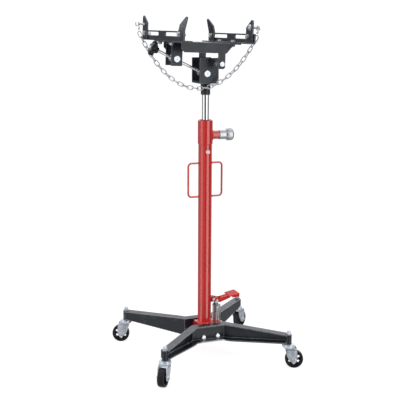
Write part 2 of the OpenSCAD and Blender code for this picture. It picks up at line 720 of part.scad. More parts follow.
// height error at the right end when the lowest point is at x from the left end
function end_error(x) = sag_r * (cosh((span - x) / sag_r) - cosh(x / sag_r)) - run.z;
function bisect(low, high, n) = let (mid = (low + high) / 2)
  n == 0 ? mid : end_error(mid) > 0 ? bisect(mid, high, n - 1) : bisect(low, mid, n - 1);
low_x = bisect(span * 0.3, span * 0.7, 30);
low_z = left_end.z - sag_r * (cosh(low_x / sag_r) - 1);
left_arc = sag_r * sinh(low_x / sag_r);
right_arc = sag_r * sinh((span - low_x) / sag_r);
link_pitch = (left_arc + right_arc) / chain_links;
// point (along, z) at arc length s from the lowest point
function chain_point(s) =
  [low_x + sag_r * asinh(s / sag_r), low_z + sqrt(sag_r * sag_r + s * s) - sag_r];

// stadium ring
module link(inner_l, outer_w, wire_r) {
  bend_r = outer_w / 2 - wire_r;
  half_l = inner_l / 2 + wire_r - bend_r;
  for (side = [-1, 1]) {
    translate([-half_l, side * bend_r, 0]) rotate([0, 90, 0])
      cylinder(r = wire_r, h = 2 * half_l, $fn = 16);
    translate([side * half_l, 0, 0]) rotate_extrude(angle = 180, start = -90 * side)
      translate([bend_r, 0]) circle(r = wire_r, $fn = 16);
  }
}
module safety_chain() color(steel)
  translate([left_end.x, left_end.y, 0]) rotate([0, 0, atan2(run.y, run.x)])
    for (i = [0:chain_links - 1]) {
      from = chain_point(-left_arc + i * link_pitch);
      to = chain_point(-left_arc + (i + 1) * link_pitch);
      mid = (from + to) / 2;
      translate([mid[0], 0, mid[1]]) rotate([0, -atan2(to[1] - from[1], to[0] - from[0]), 0])
        rotate([i % 2 == 0 ? 45 : -45, 0, 0]) link(link_pitch + 0.2, 16, chain_wire / 2);
    }

module hook_loop(r, start)
  rotate_extrude(angle = 250, start = start) translate([r, 0]) circle(r = hook_wire_r, $fn = 16);
// wire S hook across the anchor bolt; upper loop round the bolt
module s_hook(anchor, y) translate([anchor[0], y, anchor[1] - 0.8]) rotate([90, 0, 90]) {
  hook_loop(hook_top_r, -70);
  translate([0, -hook_top_r - hook_low_r, 0]) hook_loop(hook_low_r, 110);
}
module chain_hook_left() color(zinc) s_hook(left_anchor, left_end.y);
module chain_hook_right() color(zinc) s_hook(right_anchor, right_end.y);

// ---------- casters ----------
axle_z = wheel_d / 2;

module caster_stems() color(pale_steel)
  for (at = caster_at) translate([at.x, at.y, socket_bot_z]) {
    translate([0, 0, -3]) cylinder(r = stem_r, h = end_top_z - socket_bot_z + 17);
    translate([0, 0, -5]) cylinder(r = 24, h = 5);
  }
module acorn_nuts() color(pale_steel) {
  dome_r = 8.3;
  dome_z = 10.7;
  for (at = caster_at) translate([at.x, at.y, end_top_z]) difference() {
    union() {
      hexagon(18, 8.5);
      translate([0, 0, 8]) cylinder(r = dome_r, h = 3);
      intersection() {
        translate([0, 0, dome_z]) sphere(r = dome_r);
        translate([-10, -10, dome_z]) cube([20, 20, 20]);
      }
    }
    translate([0, 0, -1]) cylinder(r = stem_r, h = 16);
  }
}
// swivel axis at the origin, axle trailing along +X
module fork() {
  cheek_y = wheel_w / 2 + 3;
  sheet_t = 3;
  top_z = socket_bot_z - 5.1;
  difference() {
    union() {
      translate([0, 0, top_z - 7]) cylinder(r1 = 21, r2 = 25.5, h = 7);
      translate([0, 0, top_z - 11]) cylinder(r = 20, h = 5);
      translate([-27, -10, top_z - 3]) cube([20, 20, 3]);
      translate([-8, -cheek_y - sheet_t, top_z - 15]) cube([32, 2 * (cheek_y + sheet_t), 8]);
      // cheek outline (x, z)
      plate_pair([[-12, top_z - 7], [27, top_z - 7], [34, top_z - 14],
        [caster_trail + 13, axle_z + 10], [caster_trail + 9, axle_z - 8],
        [caster_trail + 4, axle_z - 13], [caster_trail - 6, axle_z - 13],
        [caster_trail - 20, axle_z - 3], [-5, axle_z + 14], [-12, top_z - 22]],
        cheek_y, sheet_t);
    }
    cyl_y(caster_trail, axle_z, -30, 30, 4.1);
    translate([0, 0, top_z - 20]) cylinder(r = 5, h = 40);
  }
  // kingpin rivet
  translate([0, 0, top_z - 18]) {
    cylinder(r = 7, h = 3 - hair);
    cylinder(r = 4.9, h = 18);
  }
  // axle bolt with its head and nut
  cyl_y(caster_trail, axle_z, -cheek_y - 4, cheek_y + 7, 4);
  translate([caster_trail, -cheek_y - sheet_t - hair, axle_z]) rotate([90, 0, 0]) hexagon(13, 5);
  translate([caster_trail, cheek_y + 9, axle_z]) rotate([90, 0, 0]) hexagon(13, 5.9);
}
module wheel() {
  r = wheel_d / 2;
  half_w = wheel_w / 2;
  rim_r = 29;
  // right half of the tread section (radius, width), closed by its mirror image
  edge = [[rim_r, half_w], [r - 3, half_w], [r - 0.8, half_w - 3], [r, half_w - 7]];
  tread = concat([for (p = edge) [p.x, -p.y]], [for (i = [3:-1:0]) edge[i]]);
  translate([caster_trail, 0, axle_z]) rotate([90, 0, 0]) {
    difference() {
      union() {
        rotate_extrude($fn = 64) polygon(tread);
        translate([0, 0, -4]) cylinder(r = 30, h = 8);
        translate([0, 0, -half_w - 2]) cylinder(r = 10, h = 2 * half_w + 4);
      }
      for (i = [0:wheel_holes - 1]) rotate([0, 0, i * 360 / wheel_holes + 30])
        translate([20, 0, -20]) cylinder(r = 6, h = 40);
      translate([0, 0, -40]) cylinder(r = 6, h = 80);
    }
    // axle bush
    translate([0, 0, -half_w - 2.5]) ring(6 - fit, 4.06, 2 * half_w + 5);
  }
}
module at_caster(i)
  translate([caster_at[i].x, caster_at[i].y, 0]) rotate([0, 0, caster_swivel[i]]) children();
module caster_fork_left() color(fork_steel) at_caster(0) fork();
module caster_fork_front() color(fork_steel) at_caster(1) fork();
module caster_fork_right() color(fork_steel) at_caster(2) fork();
module caster_fork_back() color(fork_steel) at_caster(3) fork();
module caster_wheel_left() color(rubber) at_caster(0) wheel();
module caster_wheel_front() color(rubber) at_caster(1) wheel();
module caster_wheel_right() color(rubber) at_caster(2) wheel();
module caster_wheel_back() color(rubber) at_caster(3) wheel();

base_front_half();
base_rear_half();
caster_sockets();
base_bolts();
power_block();
reservoir_tube();
top_collar();
pressure_cylinder();
ram_gland();
ram_wiper();
filler_plug();
carry_handle_left();
carry_handle_right();
pump_body();
pedal_bracket();
fulcrum_pin();
return_spring();
stop_rod();
caster_stems();
acorn_nuts();
ram_rod();
ram_piston();
piston_seal();
thrust_washer();
saddle_bracket();
tilt_beam();
pivot_pin();
pivot_nuts();
screw_bracket();
rail_left();
rail_right();
rail_bolts();
safety_chain();
trunnion_upper();
tilt_screw();
tilt_knob();
trunnion_lower();
finger_rear_left();
finger_front_left();
finger_rear_right();
finger_front_right();
finger_bolts_rear_left();
finger_bolts_front_left();
finger_bolts_rear_right();
finger_bolts_front_right();
chain_hook_left();
chain_hook_right();
release_knob();
release_stem();
pedal_lever();
pump_plunger();
spring_cap();
caster_fork_left();
caster_fork_front();
caster_fork_right();
caster_fork_back();
caster_wheel_left();
caster_wheel_front();
caster_wheel_right();
caster_wheel_back();
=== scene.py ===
"""A rolling lift: four casters under a welded base, a red column with a pedal-worked pump,
and a tilting saddle with two rails, four fingers and a safety chain.

It stands on the floor (z = 0) with its column on the Z axis; -Y is the front, -X the left.
Shapes are drawn in millimetres and scaled to metres as each mesh is made. Textures, lights
and the camera are in metres.
"""

import json
from math import acos, asinh, atan2, cos, cosh, hypot, pi, radians, sin, sinh, sqrt, tan

import bmesh
import bpy
import numpy as np
from mathutils import Matrix, Vector


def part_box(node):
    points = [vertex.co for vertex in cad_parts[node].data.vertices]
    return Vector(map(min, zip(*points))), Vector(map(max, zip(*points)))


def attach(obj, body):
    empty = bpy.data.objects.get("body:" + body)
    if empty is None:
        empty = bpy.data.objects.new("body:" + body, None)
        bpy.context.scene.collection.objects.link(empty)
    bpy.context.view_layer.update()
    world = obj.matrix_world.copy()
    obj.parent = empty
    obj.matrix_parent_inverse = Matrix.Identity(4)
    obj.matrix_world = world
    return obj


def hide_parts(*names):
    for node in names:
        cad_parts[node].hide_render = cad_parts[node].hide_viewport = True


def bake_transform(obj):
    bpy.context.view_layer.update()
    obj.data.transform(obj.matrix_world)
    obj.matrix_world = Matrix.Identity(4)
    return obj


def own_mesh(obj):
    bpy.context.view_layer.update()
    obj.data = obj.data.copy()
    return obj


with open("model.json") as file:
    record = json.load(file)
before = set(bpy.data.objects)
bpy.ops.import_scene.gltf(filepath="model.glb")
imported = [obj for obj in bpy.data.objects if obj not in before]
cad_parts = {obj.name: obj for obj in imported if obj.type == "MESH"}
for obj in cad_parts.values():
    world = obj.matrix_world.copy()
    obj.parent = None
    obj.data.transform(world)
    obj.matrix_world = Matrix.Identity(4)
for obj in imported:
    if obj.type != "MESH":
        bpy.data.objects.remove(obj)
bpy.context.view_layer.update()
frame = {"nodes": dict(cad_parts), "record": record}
SCENE = bpy.context.scene
NODES = frame["nodes"]
NODE_SLOT = {s["node"]: s["material_slot"] for s in frame["record"]["subparts"]}
MM = 0.001


# ------------------------------------------------------------------ frames
def basis(origin, u, v, w):
    """The frame at origin whose X, Y and Z axes are u, v and w."""
    matrix = Matrix.Identity(4)
    for i in range(3):
        matrix[i][0], matrix[i][1], matrix[i][2], matrix[i][3] = u[i], v[i], w[i], origin[i]
    return matrix


def at(x, y, z):
    return Matrix.Translation((x, y, z))


def up(z, turn=0.0):
    """A shift along local Z, then a turn about it."""
    return at(0, 0, z) @ Matrix.Rotation(turn, 4, "Z")


def toward_x(x, y, z, side):
    """A frame whose local Z faces +X (side 1) or -X (side -1) and whose local Y is up."""
    return basis((x, y, z), (0, side, 0), (0, 0, 1), (side, 0, 0))


def toward_y(x, y, z, side):
    """A frame whose local Z faces +Y (side 1) or -Y (side -1) and whose local X is +X."""
    return basis((x, y, z), (1, 0, 0), (0, 0, -side), (0, side, 0))


def aimed(origin, direction, side):
    """A frame whose local Z runs along direction; side is square to it."""
    w = Vector(direction).normalized()
    u = Vector(side).cross(w)
    u.normalize()
    return basis(origin, u, w.cross(u), w)


# ------------------------------------------------------------------ places (mm)
def box_mm(node):
    low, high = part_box(node)
    return np.array(low) * 1000, np.array(high) * 1000


# Base and column
COLUMN_R = 28.5
COLUMN_TOP = box_mm("top_collar")[0][2]
BLOCK_TOP = box_mm("reservoir_tube")[0][2]
KNOB_LOW, KNOB_HIGH = box_mm("release_knob")
VALVE_Z = (KNOB_LOW[2] + KNOB_HIGH[2]) / 2
SOCKET_LOW, SOCKET_HIGH = box_mm("caster_sockets")
SOCKET_TOP = SOCKET_HIGH[2]
CASTER_REACH = SOCKET_HIGH[0] - 12.5
# corner: sign of x, sign of y, heading in degrees
CASTERS = {
    "left": (-1, 1, 157), "front": (-1, -1, -128),
    "right": (1, -1, -23), "back": (1, 1, 37),
}

# Saddle
SADDLE_BASE = box_mm("saddle_bracket")[1][2] - 103
PIVOT_X, PIVOT_Z = 26.0, SADDLE_BASE + 81
SCREW_INNER = Vector((-11.0, 0, SADDLE_BASE + 40))
SCREW_OUTER = Vector((-138.0, 0, SADDLE_BASE + 100))
BEAM_Z = SADDLE_BASE + 164
LEFT_X, RIGHT_X = -191.0, 109.0  # where the fingers are bolted on
STACK_LEFT, STACK_RIGHT = 8.6, 2.6  # reach of the bolted plates either side of those
CHAIN_BOLT_Z = BEAM_Z + 64
CHAIN_LEFT_Y, CHAIN_RIGHT_Y = 214, -204
TILT = (at(PIVOT_X, 0, PIVOT_Z) @ Matrix.Rotation(radians(2), 4, "Y")
        @ at(-PIVOT_X, 0, -PIVOT_Z))


def tilted(x, y, z):
    return np.array(TILT @ Vector((x, y, z)))


# ------------------------------------------------------------------ mesh kit
# Each shape function returns (vertices, faces).
def new_object(name, data):
    obj = bpy.data.objects.new(name, data)
    SCENE.collection.objects.link(obj)
    return obj


def fillet(points, radius, steps=4, closed=True):
    """A 2D line with rounded corners; radius is one value or one for each point."""
    out, count = [], len(points)
    radii = radius if isinstance(radius, (list, tuple)) else [radius] * count
    for i in range(count):
        corner = np.array(points[i], float)
        if not closed and i in (0, count - 1) or radii[i] <= 0:
            out.append(tuple(corner))
            continue
        back = np.array(points[i - 1], float) - corner
        ahead = np.array(points[(i + 1) % count], float) - corner
        back_len, ahead_len = np.linalg.norm(back), np.linalg.norm(ahead)
        back, ahead = back / back_len, ahead / ahead_len
        cosine = float(np.clip(back @ ahead, -1, 1))
        if cosine < -0.9995:  # nearly straight
            out.append(tuple(corner))
            continue
        half = acos(cosine) / 2
        setback = min(radii[i] / tan(half), back_len * 0.49, ahead_len * 0.49)
        r = setback * tan(half)
        middle = back + ahead
        centre = corner + middle / np.linalg.norm(middle) * (r / sin(half))
        start, end = corner + back * setback - centre, corner + ahead * setback - centre
        first = atan2(start[1], start[0])
        arc = (atan2(end[1], end[0]) - first + pi) % (2 * pi) - pi
        for k in range(steps + 1):
            angle = first + arc * k / steps
            out.append((centre[0] + r * cos(angle), centre[1] + r * sin(angle)))
    return out


def circle(x, y, r, sides):
    angles = [2 * pi * i / sides for i in range(sides)]
    return [(x + r * cos(angle), y + r * sin(angle)) for angle in angles]


def level_ring(r, z):
    """A level circle of 96 points round the Z axis."""
    return [(x, y, z) for x, y in circle(0, 0, r, 96)]


def plate(outline, holes, thickness, edge):
    """A flat plate with holes, centred on local z = 0, its edges rounded by edge."""
    curve = bpy.data.curves.new("tmp", "CURVE")
    curve.dimensions = "2D"
    curve.fill_mode = "BOTH"
    curve.extrude = thickness / 2 - edge
    curve.bevel_depth = edge
    curve.bevel_resolution = 2
    curve.offset = -edge
    for loop in [outline] + list(holes):
        spline = curve.splines.new("POLY")
        spline.points.add(len(loop) - 1)
        for point, (x, y) in zip(spline.points, loop):
            point.co = (x, y, 0, 1)
        spline.use_cyclic_u = True
    obj = new_object("tmp", curve)
    graph = bpy.context.evaluated_depsgraph_get()
    mesh = bpy.data.meshes.new_from_object(obj.evaluated_get(graph))
    verts = np.array([v.co for v in mesh.vertices], float).reshape(-1, 3)
    faces = [tuple(face.vertices) for face in mesh.polygons]
    bpy.data.objects.remove(obj)
    bpy.data.curves.remove(curve)
    bpy.data.meshes.remove(mesh)
    return verts, faces


def turned(loops):
    """A skin through closed (r, z) loops spaced evenly about local Z."""
    turns, count = len(loops), len(loops[0])
    verts, faces = [], []
    for i, loop in enumerate(loops):
        angle = 2 * pi * i / turns
        verts += [(r * cos(angle), r * sin(angle), z) for r, z in loop]
        here, there = i * count, (i + 1) % turns * count
        for j in range(count):
            k = (j + 1) % count
            faces.append((here + j, there + j, there + k, here + k))
    return np.array(verts), faces


def lathe(profile, sides, reshape=None):
    """A closed (r, z) loop turned about local Z; reshape(angle, r, z) may change r."""
    if not reshape:
        return turned([profile] * sides)
    return turned([[(reshape(2 * pi * i / sides, r, z), z) for r, z in profile]
                   for i in range(sides)])


def rod(r, low, high, sides):
    return lathe([(0, low), (r, low), (r, high), (0, high)], sides)


def ring(inner, outer, low, high, radii, steps, sides):
    """A turned ring of rectangular section with rounded corners."""
    section = [(inner, low), (outer, low), (outer, high), (inner, high)]
    return lathe(fillet(section, radii, steps), sides)


def washer(inner, outer, thickness, edge, sides):
    return ring(inner, outer, 0, thickness, [0, edge, edge, 0], 2, sides)


def hex_nut(across, height, hole=0.0, both=False):
    """A nut, or a bolt head when hole is 0; both chamfers the lower corners too."""
    face_r = across / 2 * 0.96
    loops = []
    for i in range(72):
        angle = 2 * pi * i / 72
        hex_r = across / 2 / cos(((angle + pi / 6) % (pi / 3)) - pi / 6)
        chamfer = (hex_r - face_r) * 0.55
        lower = chamfer if both else 0.25
        loop = [(hole, 0), (face_r, 0), (hex_r, lower), (hex_r, height - chamfer),
                (face_r, height)]
        loop += [(hole + 0.5, height), (hole, height - 0.5)] if hole else [(0.0, height)]
        loops.append(loop)
    return turned(loops)


def tube_faces(count, sides, closed=False):
    """Faces joining count rings of vertices, capped unless closed."""
    faces = []
    for i in range(count if closed else count - 1):
        here, there = i * sides, (i + 1) % count * sides
        for j in range(sides):
            k = (j + 1) % sides
            faces.append((here + j, here + k, there + k, there + j))
    if not closed:
        faces.append(tuple(range(sides))[::-1])
        faces.append(tuple((count - 1) * sides + j for j in range(sides)))
    return faces


def thread(r, pitch, depth, length, sides=28, per_turn=6):
    """A threaded rod along local Z, run out over the last 1.2 mm of each end."""
    steps = max(2, int(length / pitch * per_turn))
    verts = []
    for i in range(steps + 1):
        z = length * i / steps
        full = min(1.0, min(z, length - z) / 1.2 + 0.15)
        for j in range(sides):
            angle = 2 * pi * j / sides
            groove = abs(2 * ((z / pitch - j / sides) % 1.0) - 1)
            groove = min(1.0, max(0.0, (groove - 0.18) / 0.64))
            radius = r - depth * groove - (1 - full) * depth * 0.9
            verts.append((radius * cos(angle), radius * sin(angle), z))
    return np.array(verts), tube_faces(steps + 1, sides)


def square_to(vector, tangent):
    """The unit vector nearest to vector that is square to tangent."""
    vector = vector - tangent * (vector @ tangent)
    return vector / np.linalg.norm(vector)


def sweep(path, radius, sides, closed=False):
    """A round bar along a 3D path; radius is one value or one for each point."""
    path = np.array(path, float)
    count = len(path)
    radii = np.full(count, radius, float)
    if closed:
        tangents = np.roll(path, -1, 0) - np.roll(path, 1, 0)
    else:
        tangents = np.gradient(path, axis=0)
    tangents /= np.linalg.norm(tangents, axis=1)[:, None]
    start = np.array([0, 0, 1.0] if abs(tangents[0][2]) < 0.9 else [1.0, 0, 0])
    normals = [square_to(start, tangents[0])]
    for tangent in tangents[1:]:
        normals.append(square_to(normals[-1], tangent))
    normals = np.array(normals)
    if closed:  # spread the leftover twist along the loop
        last = square_to(normals[-1], tangents[0])
        across = np.cross(tangents[0], normals[0])
        twist = atan2(last @ across, last @ normals[0])
        for i in range(count):
            angle = -twist * i / count
            across = np.cross(tangents[i], normals[i])
            normals[i] = normals[i] * cos(angle) + across * sin(angle)
    sideways = np.cross(tangents, normals)
    verts = []
    for i in range(count):
        for j in range(sides):
            angle = 2 * pi * j / sides
            offset = normals[i] * cos(angle) + sideways[i] * sin(angle)
            verts.append(path[i] + radii[i] * offset)
    return np.array(verts), tube_faces(count, sides, closed)


def measure(path, closed=False):
    """The path as an array and the distance along it at each point."""
    path = np.array(path, float)
    if closed:
        path = np.vstack([path, path[:1]])
    steps = np.linalg.norm(np.diff(path, axis=0), axis=1)
    return path, np.concatenate([[0], np.cumsum(steps)])


def resample(path, distances, stations):
    return np.stack([np.interp(stations, distances, path[:, k]) for k in range(3)], 1)


def bead(path, radius, seed, lump, closed=False):
    """A weld bead: a ripple of overlapping puddles, one every lump along the path."""
    ripple = 0.22
    path, distances = measure(path, closed)
    total = distances[-1]
    count = max(8, int(total / lump * 5))
    stations = np.linspace(0, total, count, endpoint=not closed)
    phase = (stations / lump) % 1.0
    jitter = np.random.RandomState(seed).uniform(-1, 1, count)
    radii = radius * (1 + ripple * (1 - np.abs(2 * phase - 1)) + ripple * 0.5 * jitter)
    if not closed:
        from_end = np.minimum(stations, total - stations) / (2.5 * radius)
        radii *= np.sqrt(np.clip(from_end, 0.05, 1))
    return sweep(resample(path, distances, stations), radii, 10, closed)


class Part:
    """Shapes gathered, in millimetres, into one object."""

    def __init__(self):
        self.verts, self.faces, self.slots, self.count = [], [], [], 0

    def add(self, shape, place=None, slot=0):
        verts, faces = shape
        verts = np.asarray(verts, float)
        if place is not None:
            matrix = np.array(place, float)
            verts = verts @ matrix[:3, :3].T + matrix[:3, 3]
        self.verts.append(verts)
        self.faces.extend([tuple(i + self.count for i in face) for face in faces])
        self.slots.extend([slot] * len(faces))
        self.count += len(verts)
        return self

    def moved(self, place):
        copy = Part().add((np.concatenate(self.verts), self.faces), place)
        copy.slots = self.slots
        return copy

    def obj(self, name, body, slot, materials, *nodes, sharp=32):
        """Make the object; it rides on body and takes the place of the CAD nodes."""
        mesh = bpy.data.meshes.new(name)
        verts = np.concatenate(self.verts) * MM
        mesh.from_pydata([tuple(v) for v in verts], [], self.faces)
        for material in materials if isinstance(materials, list) else [materials]:
            mesh.materials.append(material)
        mesh.polygons.foreach_set("material_index", self.slots)
        bm = bmesh.new()
        bm.from_mesh(mesh)
        bmesh.ops.remove_doubles(bm, verts=bm.verts, dist=0.000004)
        bmesh.ops.dissolve_degenerate(bm, edges=bm.edges, dist=0.000002)
        bmesh.ops.recalc_face_normals(bm, faces=bm.faces)
        bm.to_mesh(mesh)
        bm.free()
        mesh.polygons.foreach_set("use_smooth", [True] * len(mesh.polygons))
        mesh.set_sharp_from_angle(angle=radians(sharp))
        mesh.update()
        obj = new_object(name, mesh)
        if body:
            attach(obj, body)
        if nodes:
            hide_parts(*nodes)
        return obj


# ------------------------------------------------------------------ shader kit
class Graph:
    """A node tree, emptied; an input is given a value or a socket to link."""

    def __init__(self, tree):
        self.tree = tree
        tree.nodes.clear()

    def node(self, kind, inputs=None, **settings):
        node = self.tree.nodes.new("ShaderNode" + kind)
        for key, value in settings.items():
            setattr(node, key, value)
        self.put(node, inputs or {})
        return node

    def put(self, node, inputs):
        for key, value in inputs.items():
            if isinstance(value, bpy.types.NodeSocket):
                self.tree.links.new(value, node.inputs[key])
            else:
                node.inputs[key].default_value = value

    def math(self, operation, *values, clamp=False):
        inputs = dict(enumerate(values))
        return self.node("Math", inputs, operation=operation, use_clamp=clamp).outputs[0]

    def times(self, product, *factors):
        for factor in factors:
            product = self.math("MULTIPLY", product, factor)
        return product

    def gap(self, a, b):
        return self.math("ABSOLUTE", self.math("SUBTRACT", a, b), 0.0)

    def ramp(self, value, span, to=(0.0, 1.0)):
        """Map the span onto the range to, clamped."""
        inputs = {"Value": value, "From Min": span[0], "From Max": span[1],
                  "To Min": to[0], "To Max": to[1]}
        return self.node("MapRange", inputs, clamp=True).outputs[0]

    def mix(self, amount, a, b):
        """Blend two colours, each an RGB tuple or a socket."""
        a, b = [(*c, 1) if isinstance(c, tuple) else c for c in (a, b)]
        return self.node("Mix", {0: amount, 6: a, 7: b}, data_type="RGBA").outputs[2]


class Surface(Graph):
    """A material with one Principled shader, textured in object space."""

    def __init__(self, name):
        self.material = bpy.data.materials.new(name)
        self.material.use_nodes = True
        super().__init__(self.material.node_tree)
        output = self.node("OutputMaterial")
        self.shader = self.node("BsdfPrincipled")
        self.put(output, {0: self.shader.outputs[0]})
        self.coords = self.node("TexCoord").outputs["Object"]

    def finish(self, inputs):
        self.put(self.shader, inputs)
        return self.material

    def noise(self, scale, detail, rough=0.55, distortion=0.0, stretch=None):
        coords = self.coords
        if stretch:
            coords = self.node("Mapping", {0: coords, "Scale": stretch}).outputs[0]
        inputs = {"Scale": scale, "Detail": detail, "Roughness": rough,
                  "Distortion": distortion, "Vector": coords}
        return self.node("TexNoise", inputs).outputs[0]

    def bump(self, height, strength, distance, under=None):
        inputs = {"Strength": strength, "Distance": distance, "Height": height}
        if under is not None:
            inputs["Normal"] = under
        return self.node("Bump", inputs).outputs[0]

    def edge(self, radius):
        """1 near edges and 0 on open faces."""
        rounded = self.node("Bevel", {"Radius": radius}, samples=4).outputs[0]
        normal = self.node("NewGeometry").outputs["Normal"]
        dot = self.node("VectorMath", {0: rounded, 1: normal}, operation="DOT_PRODUCT")
        return self.ramp(self.math("SUBTRACT", 1.0, dot.outputs["Value"]), span=(0.006, 0.09))

    def scratches(self):
        """Thin random lines: narrow bands round the middle value of a stretched noise."""
        field = self.noise(scale=55, detail=2, rough=0.5, distortion=0.6, stretch=(1, 1, 7))
        line = self.ramp(self.gap(field, 0.5), span=(0.0, 0.01125), to=(1.0, 0.0))
        return self.times(line, self.ramp(self.noise(scale=19, detail=2), span=(0.56, 0.66)))

    def lip_highlight_band(self, bottom, top, half_width, front_y, centre_x):
        """1 in a level band on faces in front of front_y, broken up by noise (metres); used
        to paint a highlight along the front of the hub's lower lip.
        """
        place = self.node("NewGeometry").outputs["Position"]
        x, y, z = self.node("SeparateXYZ", {0: place}).outputs
        return self.times(
            self.ramp(z, span=(bottom - 0.0004, bottom)),
            self.ramp(z, span=(top, top + 0.0012), to=(1.0, 0.0)),
            self.ramp(self.gap(x, centre_x), span=(half_width, half_width + 0.006),
                      to=(1.0, 0.0)),
            self.ramp(y, span=(front_y, front_y + 0.003), to=(1.0, 0.0)),
            self.ramp(self.noise(scale=130, detail=4, rough=0.7), span=(0.34, 0.46)))


def scaled(colour, gain, lift=0.0):
    return tuple(min(1, c * gain + lift) for c in colour)


def paint(name, base, light, dark, rough, coat, worn, peel, edge_highlight_amount, scratch=0.35,
          metal=(0.42, 0.43, 0.45), edge_radius=0.0011, edge_highlight_colour=None, spec=0.5,
          coat_rough=0.14, coat_ior=1.5, band=None):
    """Powder coat, worn to metal at edges and scratches, with an orange-peel surface; its
    edges are lightened as a painted highlight, and an optional band paints a highlight as
    bare metal.
    """
    s = Surface(name)
    large = s.noise(scale=7, detail=3)
    medium = s.noise(scale=60, detail=4)
    colour = s.mix(s.ramp(large, span=(0.35, 0.65)), dark, light)
    colour = s.mix(0.55, colour, base)
    colour = s.mix(s.ramp(medium, span=(0.52, 0.75), to=(0, 0.22)), colour, dark)
    edge = s.edge(edge_radius)
    chips = s.ramp(s.noise(scale=240, detail=5, rough=0.7), span=(0.50, 0.62))
    patches = s.ramp(s.noise(scale=14, detail=3), span=(0.46, 0.62))
    wear = s.times(edge, chips, s.math("ADD", s.times(patches, 0.75), 0.25))
    wear = s.math("MULTIPLY", wear, worn, clamp=True)
    scratches_and_lip_highlight = s.times(s.scratches(), scratch * worn)
    # painted highlight: the optional band is painted as bright bare metal, added to the real
    # scratches
    if band:
        scratches_and_lip_highlight = s.math("MAXIMUM", scratches_and_lip_highlight, s.lip_highlight_band(**band))
    # painted highlight: edges are mixed towards a pale tint, standing for light caught along
    # them
    edge_highlight_tint = edge_highlight_colour or scaled(base, gain=2.2, lift=0.05)
    colour = s.mix(s.times(edge, edge_highlight_amount), colour, edge_highlight_tint)
    bare = s.math("MAXIMUM", wear, scratches_and_lip_highlight)
    colour = s.mix(bare, colour, metal)
    roughness = s.ramp(s.noise(scale=35, detail=5, rough=0.6), span=(0.3, 0.7),
                       to=(rough - 0.05, rough + 0.08))
    roughness = s.math("ADD", roughness, s.times(wear, 0.12), clamp=True)
    orange = s.noise(scale=520, detail=2, rough=0.5)
    fine = s.noise(scale=2300, detail=2, rough=0.5)
    normal = s.bump(orange, strength=peel, distance=0.0007)
    normal = s.bump(fine, strength=peel * 0.4, distance=0.0002, under=normal)
    covered = s.math("SUBTRACT", 1.0, s.math("MAXIMUM", wear, scratches_and_lip_highlight))
    normal = s.bump(covered, strength=0.35, distance=0.00012, under=normal)
    return s.finish({
        "Base Color": colour, "Roughness": roughness, "Normal": normal,
        "Metallic": s.times(wear, 0.8), "Specular IOR Level": spec, "IOR": 1.5,
        "Coat Weight": coat, "Coat Roughness": coat_rough, "Coat IOR": coat_ior,
        "Coat Normal": normal})


def bare_metal(name, base, tint, rough, vary=0.1, brush=None, brush_amount=0.0,
               grain=0.06, dirt=0.25, metallic=1.0):
    """Patchy metal with edges painted bright as a highlight; brush is the stretch of the
    brushing marks.
    """
    s = Surface(name)
    patches = s.noise(scale=38, detail=5, rough=0.62)
    specks = s.noise(scale=420, detail=3, rough=0.6)
    colour = s.mix(s.ramp(patches, span=(0.35, 0.68)), base, tint)
    colour = s.mix(s.ramp(specks, span=(0.56, 0.72), to=(0, dirt)), colour,
                   scaled(base, gain=0.62))
    # painted highlight: edges lightened towards near white
    edge_highlight_amount = 0.35
    colour = s.mix(s.times(s.edge(radius=0.0006), edge_highlight_amount), colour, (0.93, 0.94, 0.96))
    roughness = s.ramp(patches, span=(0.3, 0.7), to=(rough - vary * 0.5, rough + vary))
    normal = s.bump(specks, strength=grain, distance=0.0003)
    if brush:
        marks = s.noise(scale=60, detail=3, rough=0.7, stretch=brush)
        normal = s.bump(marks, strength=brush_amount, distance=0.00015, under=normal)
        change = s.ramp(marks, span=(0.3, 0.7), to=(-0.05, 0.07))
        roughness = s.math("ADD", roughness, change, clamp=True)
    return s.finish({"Base Color": colour, "Roughness": roughness, "Normal": normal,
                     "Metallic": metallic})


def plain(name, base, other, rough, grain=0.12, spec=0.4, dust=0.0):
    """Rubber or plastic, its edges painted a little lighter as a highlight."""
    s = Surface(name)
    colour = s.mix(s.ramp(s.noise(scale=30, detail=4), span=(0.35, 0.68)), base, other)
    # painted highlight: edges lightened
    edge_highlight_amount = 0.25
    colour = s.mix(s.times(s.edge(radius=0.0009), edge_highlight_amount), colour,
                   scaled(base, gain=2.5, lift=0.03))
    if dust > 0:
        film = s.ramp(s.noise(scale=90, detail=6, rough=0.7), span=(0.48, 0.75), to=(0, dust))
        colour = s.mix(film, colour, (0.32, 0.31, 0.30))
    roughness = s.ramp(s.noise(scale=50, detail=4), span=(0.3, 0.7),
                       to=(rough - 0.08, rough + 0.1))
    grains = s.noise(scale=700, detail=3, rough=0.6)
    normal = s.bump(grains, strength=grain, distance=0.0005)
    return s.finish({"Base Color": colour, "Roughness": roughness, "Normal": normal,
                     "Specular IOR Level": spec})


# ------------------------------------------------------------------ materials
# Each paint below lightens its edges by its edge amount and edge colour as a painted
# highlight.
RED_SHADES = dict(base=(0.70, 0.021, 0.016), light=(0.76, 0.028, 0.020),
                  dark=(0.62, 0.015, 0.013))
RED = paint("red_powder_coat", **RED_SHADES, rough=0.27, coat=0.9, worn=0.3, peel=0.035,
            coat_rough=0.10, coat_ior=1.7, edge_highlight_amount=0.06, scratch=0.10)
